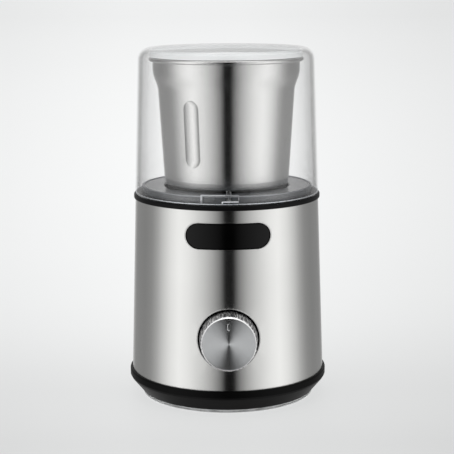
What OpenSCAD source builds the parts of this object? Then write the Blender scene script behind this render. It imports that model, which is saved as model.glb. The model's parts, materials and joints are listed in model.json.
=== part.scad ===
// Electric spice grinder: a steel-skinned motor base, a lift-out steel cup with a blade,
// and a clear lid that locks with a twist. Millimetres, +Z up, front towards -Y.
// The origin is the centre of the ring that the grinder stands on.

/* [Body shell] */
// Radius of the steel skin at the base ring
body_bottom_r = 52; // [51:0.25:55]
// Radius of the steel skin at the seam ring
body_top_r = 49; // [48.5:0.25:51]
// Height of steel skin that shows
skin_show_h = 93.3; // [92.5:0.1:104]
// Sheet thickness of the steel skin
skin_t = 0.7; // [0.5:0.05:0.9]
// Wall of the moulded chassis inside the skin
chassis_t = 2.2; // [1.8:0.1:2.6]
// Height of the folded steel lip round each opening
lip_proud = 0.25; // [0.1:0.05:0.5]
// Width of the folded steel lip round each opening
lip_w = 0.45; // [0.3:0.05:0.8]

/* [Base ring and bottom] */
// Height of the ring foot below the base ring
foot_h = 2.1; // [1.5:0.1:4]
// How far the ring foot stands in from the base ring's lower edge
foot_inset = 1.7; // [1.3:0.1:2.4]
// Width of the ring foot
foot_w = 4.2; // [3:0.1:5]
// Height of the black base ring
base_h = 11.6; // [11.4:0.1:13]
// Radius that the base ring loses down to its lower edge, from the skin
base_taper = 5.1; // [3.6:0.1:5.3]
// How far the base ring stands out from the skin
base_proud = 1.3; // [0.8:0.1:2.5]
// Height of the upright band on the base ring
base_band_h = 3.5; // [2.5:0.1:4]
// Depth of the rebate that the skin stands in
rebate_d = 2.4; // [1.5:0.1:3]
// Thickness of the bottom cover
cover_t = 3; // [2.6:0.1:3.4]
// Number of vent slots in the bottom cover
vent_count = 14; // [8:2:20]

/* [Deck] */
// Height of the black seam ring
seam_h = 2.5; // [2:0.1:3.5]
// How far the seam ring stands out from the skin
seam_proud = 0.8; // [0.4:0.1:1.5]
// Height of the deck above the seam ring
deck_step = 4; // [4:0.1:5]
// How far the deck's rim stands in from the skin's upper edge
deck_inset = 3.7; // [3.5:0.1:3.9]
// Thickness of the deck's top plate
deck_t = 2.4; // [2:0.1:2.8]
// Width of the deck between its rim and the well that the cup stands in
deck_w = 12; // [11.7:0.1:12.3]
// Depth of the well
well_depth = 15.5; // [15.2:0.1:17]
// Wall of the well
well_t = 2.2; // [1.8:0.1:2.4]

/* [Cup] */
// Height of the steel cup
cup_h = 66.5; // [64:0.5:76]
// How far the cup's bottom stands above the deck
cup_stand = 1.5; // [1:0.1:3]
// Sheet thickness of the cup
cup_t = 0.7; // [0.5:0.1:1]
// How far the cup's side stands out over the well where its taper starts
cup_side = 0.1; // [-0.9:0.1:0.7]
// Radius gained per millimetre of height along the taper
cup_taper = 0.0622; // [0.05:0.0005:0.065]
// Room between the straight neck and the lid
neck_room = 5.6; // [5.2:0.1:6.1]
// Height of the neck and the bead together
neck_h = 6.1; // [5:0.1:9]
// Height of the flare between taper and neck
flare_h = 11.4; // [9:0.1:14]
// Radius of the rounded corner at the bottom
cup_corner_r = 4; // [3:0.1:6]
// Radius of the rolled bead's section
bead_r = 1.05; // [0.9:0.05:1.1]
// Direction of the first pressed groove, from the front
groove_az = -31.4; // [-60:0.1:-20]
// Height of the groove's lower end above the cup's bottom
groove_up = 10.8; // [9:0.1:14]
// Height of the plain wall between a groove and the flare
groove_below = 3.3; // [3:0.1:12]
// Width of a pressed groove
groove_w = 9.4; // [7:0.1:11]
// Depth of a pressed groove
groove_d = 2.2; // [1.2:0.1:2.4]
// Gap between the cup's plastic foot and the well
cup_foot_gap = 1.7; // [1.5:0.1:2.8]
// Wall of the cup's plastic foot
cup_foot_t = 2.2; // [1.6:0.1:3]

/* [Lid] */
// Room between the deck's rim and the lid's wall
lid_room = 1.7; // [1.6:0.05:2]
// Radius that the lid loses from its lower edge to its shoulder
lid_draft = 2.4; // [1.6:0.1:2.8]
// Height of the lid's top above the cup's rim
lid_head = 5.1; // [4.9:0.1:9]
// Wall of the lid
lid_t = 2; // [1.6:0.05:2]
// Radius of the lid's rounded shoulder
shoulder_r = 6.5; // [4:0.1:8]
// How far the ring that holds the gasket stands out over the cup's neck
skirt_out = 0.4; // [0:0.1:0.8]
// Angle that the lid turns to lock
lid_turn = 10.7; // [8:0.1:11]

/* [Blade] */
// Radius of the blade's sweep
blade_r = 27; // [22:0.25:28]
// Thickness of the blade
blade_t = 1.6; // [1.2:0.1:2]
// Angle that the upper wing is bent up
wing_up = 24; // [10:1:30]
// Angle that the lower wing is bent down
wing_down = 7; // [3:0.5:8]
// Radius of the blade's shaft
blade_shaft_r = 2.5; // [2:0.1:3]

/* [Motor] */
// Radius of the motor's shaft
motor_shaft_r = 3.5; // [3:0.1:4]
// Room for a coil between a pole's shoe and the yoke
coil_room = 4.7; // [4:0.1:5.5]
// Depth of the stator from front to back
stator_d = 50; // [49:0.5:52]
// Radius of the rotor's steel core
rotor_r = 14.6; // [14:0.1:14.7]
// Air gap between rotor and stator
air_gap = 0.5; // [0.4:0.05:0.8]
// Radius of the commutator
commutator_r = 9; // [8:0.1:9.2]
// Radius of the fan
fan_r = 28; // [22:0.5:29]
// Number of fan blades
fan_blades = 12; // [8:1:15]
// Number of dogs on each half of the coupling
dogs = 3; // [2:1:4]

/* [Knob and button] */
// Height of the knob's axis above the base ring
knob_up = 26.8; // [25:0.1:32]
// Radius of the knob at the skin
knob_r = 15.2; // [14:0.1:16]
// Radius of the knob at its face
knob_face_r = 14.4; // [13:0.1:14.8]
// How far the knob stands out from the skin
knob_out = 8.3; // [6:0.1:14]
// Gap between the knob and the opening round it
knob_gap = 0.8; // [0.5:0.05:1.2]
// Number of knurls round the knob
knurls = 72; // [40:4:90]
// Width of the button's opening
button_w = 43.4; // [36:0.2:44]
// Height of the button's opening
button_h = 13.5; // [11:0.1:13.8]
// Distance of the button's middle below the seam ring
button_down = 13.1; // [12.9:0.1:16]
// Gap between the button and its opening
button_gap = 0.5; // [0.35:0.05:0.8]
// Travel of the button
button_travel = 2; // [1:0.1:2]

/* [Fits] */
// Clearance between pieces that stay put
slip = 0.1; // [0.05:0.01:0.15]
// Radial clearance of a shaft that runs in a bush
run = 0.05; // [0.02:0.01:0.08]
// Clearance between pieces that move apart
gap = 0.3; // [0.25:0.05:0.4]

/* [Hidden] */
$fn = 96;

// How far a cut runs past the face it opens, and how far a piece reaches into what it grows from
over = 1;
bite = 0.1;
// Places on Y outside of everything and inside of the shell's walls
y_clear = 70;
y_inner = 30;
// Directions of what stands at the four corners
corner_az = [45:90:315];

// Heights of the seams, from the floor up
z_base = foot_h;
z_skin = z_base + base_h;
z_seam = z_skin + skin_show_h;
z_ring = z_seam + seam_h;
z_deck = z_ring + deck_step;
z_cup = z_deck + cup_stand;
z_rim = z_cup + cup_h;
z_lid = z_rim + lid_head;
z_well = z_deck - well_depth;

// Radii, from the body's two inwards
base_r = body_bottom_r + base_proud;
base_bottom_r = body_bottom_r - base_taper;
foot_r = base_bottom_r - foot_inset;
deck_r = body_top_r - deck_inset;
well_r = deck_r - deck_w;
lid_bottom_r = deck_r + lid_room + lid_t;
lid_top_r = lid_bottom_r - lid_draft;
neck_r = lid_top_r - lid_t - neck_room;
skirt_r = neck_r + skirt_out;
cup_bottom_r = well_r + cup_side;
cup_foot_r = well_r - cup_foot_gap;

// Base ring, cover and skin seats
z_rebate = z_skin - rebate_d;
z_band = z_skin - base_band_h;
cover_r = base_bottom_r - 1;
z_cover = z_base + cover_t;
flange_t = 2.3;
flange_r = cover_r - 1.5;
z_base_seat = z_cover + slip + flange_t;
base_soft = 0.6;
base_soft_h = 1.1;
base_edge_r = 0.7;
base_seat_over = 0.4;
foot_edge_r = 0.7;
foot_in = 1.4;
cover_rim_t = 1.6;
cover_rim_h = 1.4;
vent_w = 2.6;
vent_in_r = 12;
vent_out_r = 27;
deck_flange_h = 3;
z_flange = z_seam - deck_flange_h;

// Screws: radius of the thread, of the head, and its height
screw_r = 1.6;
screw_head_r = 3.2;
screw_head_h = 1.6;
screw_slot_l = 3.2;
screw_slot_w = 0.8;
boss_r = 3.8;
boss_roof = 3;
boss_up = 8;
z_boss = z_skin + boss_up;
cover_sink = 1.7;
cover_screw_r = foot_r - foot_w - screw_head_r - 0.8;
cover_screw_len = 13;
web_t = 2;

// Small screws, and how deep a boss on the chassis bites into its wall
small_screw_r = 1.3;
small_screw_in = 3.2;
small_head_r = 2.4;
small_head_h = 1.2;
boss_bite = 1.2;

// Deck: walls, edges and the posts that its screws go into
deck_wall_t = 2.2;
deck_edge_r = 0.6;
well_edge = 1.2;
deck_post_r = 3.4;
seam_edge_r = 0.4;
seam_top_r = 0.7;

// Motor: hung from the deck by its upper bracket
well_floor_t = 2.4;
post_drop = 2.6;
mount_h = 4;
mount_w = 0.8;
ear_t = 3;
ear_r = 5;
upper_leg_h = 12;
upper_hub_up = 2.6;
motor_screw_in = 9;
clamp_short = 1.4;
bearing_h = 7;
bearing_r = 8;
bearing_wall = 3;
bearing_cap = 1.6;
z_well_under = z_well - well_floor_t;
z_post = z_well_under - post_drop;
z_ear_top = z_post - mount_h;
z_ear = z_ear_top - ear_t;
z_upper_hub = z_ear_top + upper_hub_up;
z_stator_top = z_ear - upper_leg_h;
post_r = (well_r + well_t + deck_r - deck_wall_t) / 2;

// Motor: fan and lower bracket, measured up from the bottom cover
fan_room = 5.9;
fan_h = 9;
fan_plate_t = 1.4;
fan_blade_t = 1.2;
fan_hub_t = 4;
fan_gap = 4;
shaft_foot = 1.5;
lower_leg_h = 17;
lower_arm_t = 5;
z_fan = z_cover + fan_room;
z_fan_top = z_fan + fan_h;
z_shaft_foot = z_fan - shaft_foot;
z_lower = z_fan_top + fan_gap;
z_lower_top = z_lower + lower_arm_t;
z_lower_hub = z_lower + bearing_h + bearing_cap;
z_stator = z_lower_top + lower_leg_h;

// Motor: the stack fills the height between the brackets
stator_h = z_stator_top - z_stator;
bore_r = rotor_r + air_gap;
pole_w = 18;
yoke_t = 6;
shoe_t = 3.2;
shoe_gap = 12;
stator_w = 2 * (bore_r + shoe_t + coil_room + yoke_t);
stator_corner_r = 6;
window_corner_r = 3;
coil_gap = 0.3;
coil_side = 6.5;
coil_over = 6;
coil_corner_r = 5;
corner_inset = 4.5;
leg_r = 4;
arm_w = 7;
ear_arm_w = 6;
stator_x = stator_w / 2 - corner_inset;
stator_y = stator_d / 2 - corner_inset;
rotor_slots = 12;
rotor_slot_r = 1.7;
rotor_slot_in = 4.2;
rotor_slot_w = 1.2;
winding_h = 3.5;
winding_in = 1.2;

// Motor: brushes and commutator
brush_w = 4.8;
brush_len = 8;
brush_into = 2;
holder_w = 7;
holder_gap = 1.4;
holder_len = 15.6;
brush_spring_r = 1.7;
brush_wire_r = 0.25;
brush_spring_turns = 5;
pad_w = 9;
pad_up = 0.8;
riser_h = 1.4;
riser_out = 0.9;
bar_gap = 0.5;
bar_gap_d = 1.2;
commutator_room = 4;
z_brush = z_lower_hub + gap + holder_w / 2;

// Coupling between the motor's shaft and the blade's
coupling_r = 9.2;
coupling_in_r = 5.6;
coupling_wall = 0.8;
coupling_plate_t = 1.6;
dog_h = 5.4;
dog_inset = 0.3;
dog_angle = 140 / dogs;
driven_dog_angle = 100 / dogs;
z_dog = z_well + 2 * slip;
dog_seat = 1.4;
z_shaft_top = z_dog + dog_seat;
coupling_hole_r = coupling_r + 1.2;

// Cup, measured along its outside
z_taper = z_cup + cup_corner_r;
z_neck = z_rim - neck_h;
z_flare = z_neck - flare_h;
z_bead = z_rim - bead_r;
bead_mid_r = neck_r + bead_r - 0.1;
z_foot_low = z_well + gap;
foot_plate_t = 2.4;
bush_r = 6;
bush_flange_r = 9.5;
bush_flange_t = 2.3;
bush_gasket_t = 1;
bush_len = 9;
bush_cone = 1.6;
seal_w = 2;
seal_h = 1.8;
nut_h = 4;
nut_wall = 3.6;
foot_rib_t = 1.6;
foot_rib_h = 3.1;
foot_ribs = 12;
key_w = 6;
key_h = 7;
key_reach = 1;
key_gap = 0.5;
key_under = 0.8;
z_key = z_well + 4.5;
cup_keys = [60, 180, 300];

// Blade stack, from the bush's top up
z_bush_top = z_cup + cup_t + bush_gasket_t + bush_flange_t;
washer_t = 1;
z_blade = z_bush_top + gap + washer_t;
z_blade_top = z_blade + blade_t;
blade_nut_h = 3.4;
blade_nut_r = 4.6;
blade_step = 0.4;
washer_in = 1.4;
hub_r = 7;
wing_root = 6.5;
wing_w = 10.5;
edge_angle = 32;
edge_w = 0.9;
edge_t = 0.05;
root_lap = 0.3;

// Lid and its bayonet
z_lid_low = z_ring + gap;
z_shoulder = z_lid - shoulder_r;
gasket_t = 1;
z_gasket = z_rim + gap;
z_skirt = z_gasket + gasket_t;
skirt_t = 1.4;
lip_t = 0.8;
lip_h = 1.2;
rib_t = 0.8;
rib_az = 1;
rib_r = deck_r + 0.7;
track_left = -16.7;
track_ledge = -3.5;
track_right = 6.7;
track_faces = [0, 180];
lug_w = 3.1;
lug_h = 1.6;
lug_out = 1.25;
lug_az = track_ledge + 4.1 - lid_turn;
z_lug = z_deck - lug_h - 0.1;
z_ledge = z_lug - gap - rib_t;
z_track = z_deck + 0.6;

// Interlock: a pin in the deck's front rim that the lid's ramp presses down
pin_az = 0.6;
pin_w = 2.6;
pin_t = 1.8;
pin_up = 3;
pin_travel = 2.3;
pin_mid_r = deck_r - 0.2 - pin_t / 2;
pin_foot_t = 1.6;
pin_foot_in_r = well_r + well_t + 1.5;
z_pin_top = z_deck + pin_up;
z_pin_foot = z_deck - deck_t - gap - pin_foot_t;
z_pin_slot = z_pin_foot - pin_travel - gap;
tray_floor_t = 1;
tray_in_w = 12.6;
tray_wall = 1.2;
tray_out_r = deck_r - 2;
spring_r = 1.2;
spring_wire_r = 0.22;
spring_turns = 6;
spring_in = 3.7;
spring_mid_r = deck_r - spring_in;
micro_h = 4.4;
micro_t = 3.6;
micro_w = 11.6;
micro_pin_r = 0.9;

// Knob, switch and button
z_knob = z_skin + knob_up;
knob_hole_r = knob_r + knob_gap;
knob_pocket = 4;
pocket_gap = 0.8;
pocket_t = 2;
knob_bevel = 0.9;
knob_wall = 2;
knob_web_t = 2;
knurl_r = 0.55;
knurl_out = 0.42;
face_t = 1.6;
face_plug = 2.4;
face_ledge = 0.9;
pointer_w = 1.2;
pointer_len = 3.4;
pointer_d = 0.6;
pointer_in = 4.6;
z_button = z_seam - button_down;
// The interlock's tray passes over the pressed button
z_tray = z_button + button_h / 2 - button_gap + gap;
cap_end_t = 1;
cap_wall = 1.6;
cap_edge_d = 0.35;
cap_edge_w = 0.45;
cap_post_r = 3;
bracket_t = 1.5;
bracket_edge = 2.8;
bracket_up = 3.6;
bracket_screw_x = button_w / 2 - 1.7;
bracket_end = 3;
bracket_w = 2 * (bracket_screw_x + bracket_end);
bracket_boss_r = 2.2;
z_bracket_screw = z_button - button_h / 2 - bracket_boss_r - 0.7;
guide_in = 7.7;
guide_x = button_w / 2 - guide_in;
guide_r = 1.6;
plunger_r = 1.3;
push_w = 12;
push_h = 6;
push_front = 1.8;
push_back = 0.8;
switch_neck_r = 4.5;
spindle_r = 3;
spindle_flat = 0.7;
spindle_in = 7;
switch_w = 20;
switch_h = 18;
switch_d = 12.5;
switch_corner_r = 2;
switch_flange_t = 1.6;
switch_flange_h = 9;
switch_screw_x = 12.4;
switch_screw_r = 1;
switch_screw_in = 1.6;
switch_head_r = 1.9;
terminal = [0.8, 4, 3.2];
terminal_x = 6;
terminal_z = 5;

// Cord inlet: the hole's radius, the bush's flange and its bore
inlet_r = 4.8;
inlet_flange_r = 6.6;
inlet_flange_t = 1.4;
inlet_bore_r = 3.3;
inlet_in = 2.6;
inlet_out = 1.8;
inlet_up = 11;
z_inlet = z_skin + inlet_up;

// Control board at the back
board_up = 40;
board_in = 11.7;
z_board = z_skin + board_up;
board_y = inner_r(z_board) - board_in;
board_t = 1.6;
board_w = 44;
board_h = 42;
board_edge = 4;
board_post_r = 2.8;
board_screw_x = board_w / 2 - board_edge;
board_screw_z = [z_board - board_h / 2 + board_edge, z_board + board_h / 2 - board_edge];

// Deck screws: directions of the three that hold the deck to the chassis
deck_screw_az = [75, 180, 285];
deck_screw_in = 3.6;
deck_screw_r = deck_r - deck_screw_in;
deck_screw_len = 10;
deck_lug_w = 9;
deck_lug_t = 3;
deck_lug_in = 4.2;
deck_lug_down = 8;
z_deck_lug = z_flange - deck_lug_down;

// Outer radius of the skin at height z
function skin_r(z) = body_bottom_r + (body_top_r - body_bottom_r) * (z - z_skin) / skin_show_h;
function inner_r(z) = skin_r(z) - skin_t - slip - chassis_t;
// Front of the skin, of the knob and of the button
y_skin = -skin_r(z_knob);
y_knob = y_skin - knob_out;
y_knob_back = y_skin + knob_pocket;
y_pocket = y_knob_back + pocket_gap;
y_pocket_in = y_pocket + chassis_t;
y_cap_back = -sqrt(pow(skin_r(z_button), 2) - pow(button_w / 2, 2)) + cap_end_t;
y_bracket = y_cap_back + button_travel + push_front + 0.8;
// Outer radius of the cup at height z above its rounded corner
function taper_r(z) = cup_bottom_r + cup_taper * (z - z_taper);
function blend(t) = 0.5 - 0.5 * cos(180 * min(max(t, 0), 1));
function cup_r(z) = taper_r(z) + (neck_r - taper_r(z)) * blend((z - z_flare) / flare_h);
// Outer radius of the lid's wall at height z
function lid_r(z) =
    lid_bottom_r + (lid_top_r - lid_bottom_r) * (z - z_lid_low) / (z_shoulder - z_lid_low);
// Points of an arc about a centre, between two angles
function arc(cx, cy, r, a0, a1, n) =
    [for (i = [0:n]) let (a = a0 + (a1 - a0) * i / n) [cx + r * cos(a), cy + r * sin(a)]];

// Colours
steel = [0.78, 0.78, 0.77];
bright = [0.9, 0.9, 0.9];
black = [0.08, 0.08, 0.09];
deck_grey = [0.2, 0.21, 0.23];
clear = [0.85, 0.92, 0.94, 0.3];
copper = [0.75, 0.42, 0.22];
brass = [0.8, 0.65, 0.3];
rubber = [0.15, 0.15, 0.15];
soft_grey = [0.75, 0.77, 0.78];
board_green = [0.1, 0.35, 0.2];

// ---- shared shapes ----

// Turns what is drawn at the front to a direction measured from the front
module facing(az) {
    rotate([0, 0, az]) children();
}

// Extrudes an outline drawn in X and Z from one Y to another
module along_y(y0, y1) {
    translate([0, y1, 0]) rotate([90, 0, 0]) linear_extrude(y1 - y0) children();
}

// Extrudes an outline drawn in Y and Z from one X to another
module along_x(x0, x1) {
    translate([x0, 0, 0]) rotate([90, 0, 90]) linear_extrude(x1 - x0) children();
}

// A post from one height to another
module post(x, y, r, z0, z1) {
    translate([x, y, z0]) cylinder(h = z1 - z0, r = r);
}

// A ring about the axis
module ring(r_in, r_out, z0, z1) {
    translate([0, 0, z0]) difference() {
        cylinder(h = z1 - z0, r = r_out);
        translate([0, 0, -over]) cylinder(h = z1 - z0 + 2 * over, r = r_in);
    }
}

// Part of a ring, centred on a direction from the front
module sector(r_in, r_out, z0, z1, az, angle) {
    rotate([0, 0, az - 90 - angle / 2]) translate([0, 0, z0])
        rotate_extrude(angle = angle) translate([r_in, 0]) square([r_out - r_in, z1 - z0]);
}

// Part of a ring, between two directions from the front
module span(r_in, r_out, z0, z1, az0, az1) {
    sector(r_in, r_out, z0, z1, (az0 + az1) / 2, az1 - az0);
}

// Rectangle with round corners, centred
module rounded(w, h, r) {
    square([w - 2 * r, h], center = true);
    square([w, h - 2 * r], center = true);
    for (x = [-1, 1], y = [-1, 1])
        translate([x * (w / 2 - r), y * (h / 2 - r)]) circle(r);
}

// The solid inside a surface that follows the skin, inset from it
module inside_skin(inset, z0, z1) {
    translate([0, 0, z0])
        cylinder(h = z1 - z0, r1 = skin_r(z0) - inset, r2 = skin_r(z1) - inset);
}

// A wall that follows the skin
module skin_wall(inset, t, z0, z1) {
    difference() {
        inside_skin(inset, z0, z1);
        inside_skin(inset + t, z0 - over, z1 + over);
    }
}

// The part of such a wall that an outline at the front takes out of it
module front_patch(inset, t) {
    intersection() {
        skin_wall(inset, t, z_skin, z_seam);
        along_y(-y_clear, -y_inner) children();
    }
}

// Keeps what grows from the chassis inside its wall
module in_chassis() {
    intersection() {
        inside_skin(skin_t + slip + boss_bite, z_skin, z_seam);
        children();
    }
}

// Outline of the knob's opening, grown by a margin, at its place in X and Z
module knob_outline(grow) {
    translate([0, z_knob]) circle(knob_hole_r + grow);
}

// Outline of the button's opening, grown by a margin, at its place in X and Z
module button_outline(grow) {
    translate([0, z_button]) rounded(button_w + 2 * grow, button_h + 2 * grow, button_h / 2 + grow - 0.01);
}

// A screw pointing up with a cross slot, its head's seat at z
module screw_up(z, length) {
    translate([0, 0, z]) cylinder(h = length, r = screw_r);
    translate([0, 0, z - screw_head_h]) difference() {
        cylinder(h = screw_head_h, r = screw_head_r);
        for (a = [0, 90]) rotate([0, 0, a])
            translate([-screw_slot_l / 2, -screw_slot_w / 2, -bite])
                cube([screw_slot_l, screw_slot_w, screw_slot_w + bite]);
    }
}

// A bar swept round a helix, standing on z = 0
module coil(r, wire_r, turns, height) {
    steps = 14;
    sides = 6;
    count = turns * steps;
    points = [
        for (i = [0:count], k = [0:sides - 1])
            let (a = 360 * i / steps, b = 360 * k / sides, w = r + wire_r * cos(b))
            [w * cos(a), w * sin(a), wire_r * sin(b) + wire_r + (height - 2 * wire_r) * i / count]
    ];
    faces = [
        [for (k = [0:sides - 1]) k],
        [for (k = [sides - 1:-1:0]) count * sides + k],
        for (i = [0:count - 1], k = [0:sides - 1])
            let (n = (k + 1) % sides)
            [i * sides + k, (i + 1) * sides + k, (i + 1) * sides + n, i * sides + n]
    ];
    polyhedron(points, faces);
}

// ---- base and shell ----

// Soft ring that the grinder stands on, set into the bottom cover's rebate
module foot_ring() {
    color(soft_grey) rotate_extrude() polygon(concat(
        arc(foot_r - foot_edge_r, foot_edge_r, foot_edge_r, -90, 0, 4),
        [[foot_r, z_base + foot_in], [foot_r - foot_w, z_base + foot_in]],
        arc(foot_r - foot_w + foot_edge_r, foot_edge_r, foot_edge_r, 180, 270, 4)
    ));
}

// Plate that closes the base, with vents for the fan and recessed screws
module bottom_cover() {
    color(black) difference() {
        union() {
            post(0, 0, cover_r, z_base, z_cover);
            ring(flange_r - cover_rim_t, flange_r - slip, z_cover - bite, z_cover + cover_rim_h);
        }
        ring(foot_r - foot_w - slip, cover_r + over, z_base - over, z_base + foot_in);
        for (i = [0:vent_count - 1]) facing(360 * i / vent_count)
            translate([0, 0, z_base - over]) linear_extrude(cover_t + 2 * over) {
                translate([-vent_w / 2, -vent_out_r]) square([vent_w, vent_out_r - vent_in_r]);
                for (r = [vent_in_r, vent_out_r]) translate([0, -r]) circle(vent_w / 2);
            }
        for (az = corner_az) facing(az) {
            post(0, -cover_screw_r, screw_head_r + 2 * gap, z_base - over, z_base + cover_sink);
            post(0, -cover_screw_r, screw_r + 2 * slip, z_base, z_cover + over);
        }
    }
}

// Four screws that hold the bottom cover to the chassis
module cover_screws() {
    color(steel) for (az = corner_az)
        facing(az) translate([0, -cover_screw_r, 0]) screw_up(z_base + cover_sink, cover_screw_len);
}

// Black ring with an upright band and a tapered skirt, which the skin stands in
module base_ring() {
    seat_r = inner_r(z_rebate) - base_seat_over;
    color(black) rotate_extrude() polygon(concat(
        [[base_bottom_r, z_base], [base_r - base_soft, z_band - base_soft_h], [base_r, z_band]],
        arc(base_r - base_edge_r, z_skin - base_edge_r, base_edge_r, 0, 90, 4),
        [
            [skin_r(z_skin) + slip, z_skin],
            [skin_r(z_rebate) + slip, z_rebate],
            [seat_r, z_rebate],
            [seat_r, z_base_seat],
            [flange_r, z_base_seat],
            [flange_r, z_cover + slip],
            [cover_r + slip, z_cover + slip],
            [cover_r + slip, z_base]
        ]
    ));
}

// Brushed steel sleeve with folded lips round the knob's and the button's openings
module body_skin() {
    color(steel) difference() {
        union() {
            skin_wall(0, skin_t, z_rebate, z_seam);
            front_patch(-lip_proud, skin_t + lip_proud) knob_outline(lip_w);
            front_patch(-lip_proud, skin_t + lip_proud) button_outline(lip_w);
        }
        along_y(-y_clear, -y_inner) knob_outline(0);
        along_y(-y_clear, -y_inner) button_outline(0);
        translate([0, 0, z_inlet]) along_y(y_inner, y_clear) circle(inlet_r + slip);
    }
}

// Moulded frame: carries the skin, the switches, the board and the deck
module chassis() {
    color(black) difference() {
        union() {
            skin_wall(skin_t + slip, chassis_t, z_rebate, z_flange);
            // Pocket behind the knob
            in_chassis() along_y(-y_clear, y_pocket_in) knob_outline(pocket_t);
            // Bosses for the bottom cover's screws, each with a web to the wall
            for (az = corner_az) facing(az) {
                post(0, -cover_screw_r, boss_r, z_cover + slip, z_boss);
                translate([-web_t / 2, -inner_r(z_skin) - over, z_rebate])
                    cube([web_t, inner_r(z_skin) + over - cover_screw_r, z_boss - z_rebate]);
            }
            // Lugs under the deck's screws
            for (az = deck_screw_az) facing(az)
                translate([-deck_lug_w / 2, -inner_r(z_flange) - over, z_deck_lug])
                    cube([deck_lug_w, inner_r(z_flange) + over - deck_screw_r + deck_lug_in, deck_lug_t]);
            // Bosses for the button's bracket, below the button
            for (x = [-bracket_screw_x, bracket_screw_x])
                in_chassis() translate([x, 0, z_bracket_screw])
                    along_y(-y_clear, y_bracket) circle(bracket_boss_r);
            // Posts for the control board
            for (x = [-board_screw_x, board_screw_x], z = board_screw_z)
                in_chassis() translate([x, 0, z]) along_y(board_y + board_t, y_clear) circle(board_post_r);
        }
        along_y(-y_clear, y_pocket) knob_outline(-2 * slip);
        translate([0, 0, z_knob]) along_y(-y_clear, y_pocket_in + over) circle(switch_neck_r + slip);
        for (x = [-switch_screw_x, switch_screw_x]) translate([x, 0, z_knob])
            along_y(y_pocket_in - switch_screw_in - slip, y_pocket_in + over) circle(switch_screw_r + slip);
        along_y(-y_clear, -y_inner) button_outline(0);
        for (az = corner_az) facing(az)
            post(0, -cover_screw_r, screw_r + slip, z_base, z_boss - boss_roof);
        for (az = deck_screw_az) facing(az)
            post(0, -deck_screw_r, screw_r + slip, z_deck_lug - over, z_deck_lug + deck_lug_t + over);
        for (x = [-bracket_screw_x, bracket_screw_x]) translate([x, 0, z_bracket_screw])
            along_y(y_bracket - small_screw_in - slip, y_bracket + over) circle(small_screw_r + slip);
        for (x = [-board_screw_x, board_screw_x], z = board_screw_z) translate([x, 0, z])
            along_y(board_y, board_y + board_t + small_screw_in + slip) circle(small_screw_r + slip);
        translate([0, 0, z_inlet]) along_y(y_inner, y_clear) circle(inlet_r + slip);
    }
}

// Bush that lines the cord's way in at the back, with a flange on each side of the wall
module cord_bush() {
    y_in = inner_r(z_inlet) - inlet_in;
    y_out = skin_r(z_inlet) + inlet_out;
    color(rubber) difference() {
        union() {
            translate([0, 0, z_inlet]) along_y(y_in, y_out) circle(inlet_r);
            intersection() {
                skin_wall(-inlet_flange_t, inlet_flange_t - slip / 2, z_skin, z_seam);
                translate([0, 0, z_inlet]) along_y(y_inner, y_clear) circle(inlet_flange_r);
            }
            intersection() {
                inside_skin(skin_t + chassis_t + 2 * slip, z_skin, z_seam);
                translate([0, 0, z_inlet]) along_y(y_in, y_clear) circle(inlet_flange_r);
            }
        }
        translate([0, 0, z_inlet]) along_y(y_inner, y_clear) circle(inlet_bore_r);
    }
}

// ---- deck ----

// Black ring that covers the skin's upper edge and that the lid sits over
module seam_ring() {
    r = body_top_r + seam_proud;
    color(black) rotate_extrude() polygon(concat(
        [[deck_r + slip, z_seam]],
        arc(r - seam_edge_r, z_seam + seam_edge_r, seam_edge_r, -90, 0, 3),
        arc(r - seam_top_r, z_ring - seam_top_r, seam_top_r, 0, 90, 4),
        [[deck_r + slip, z_ring]]
    ));
}

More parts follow.
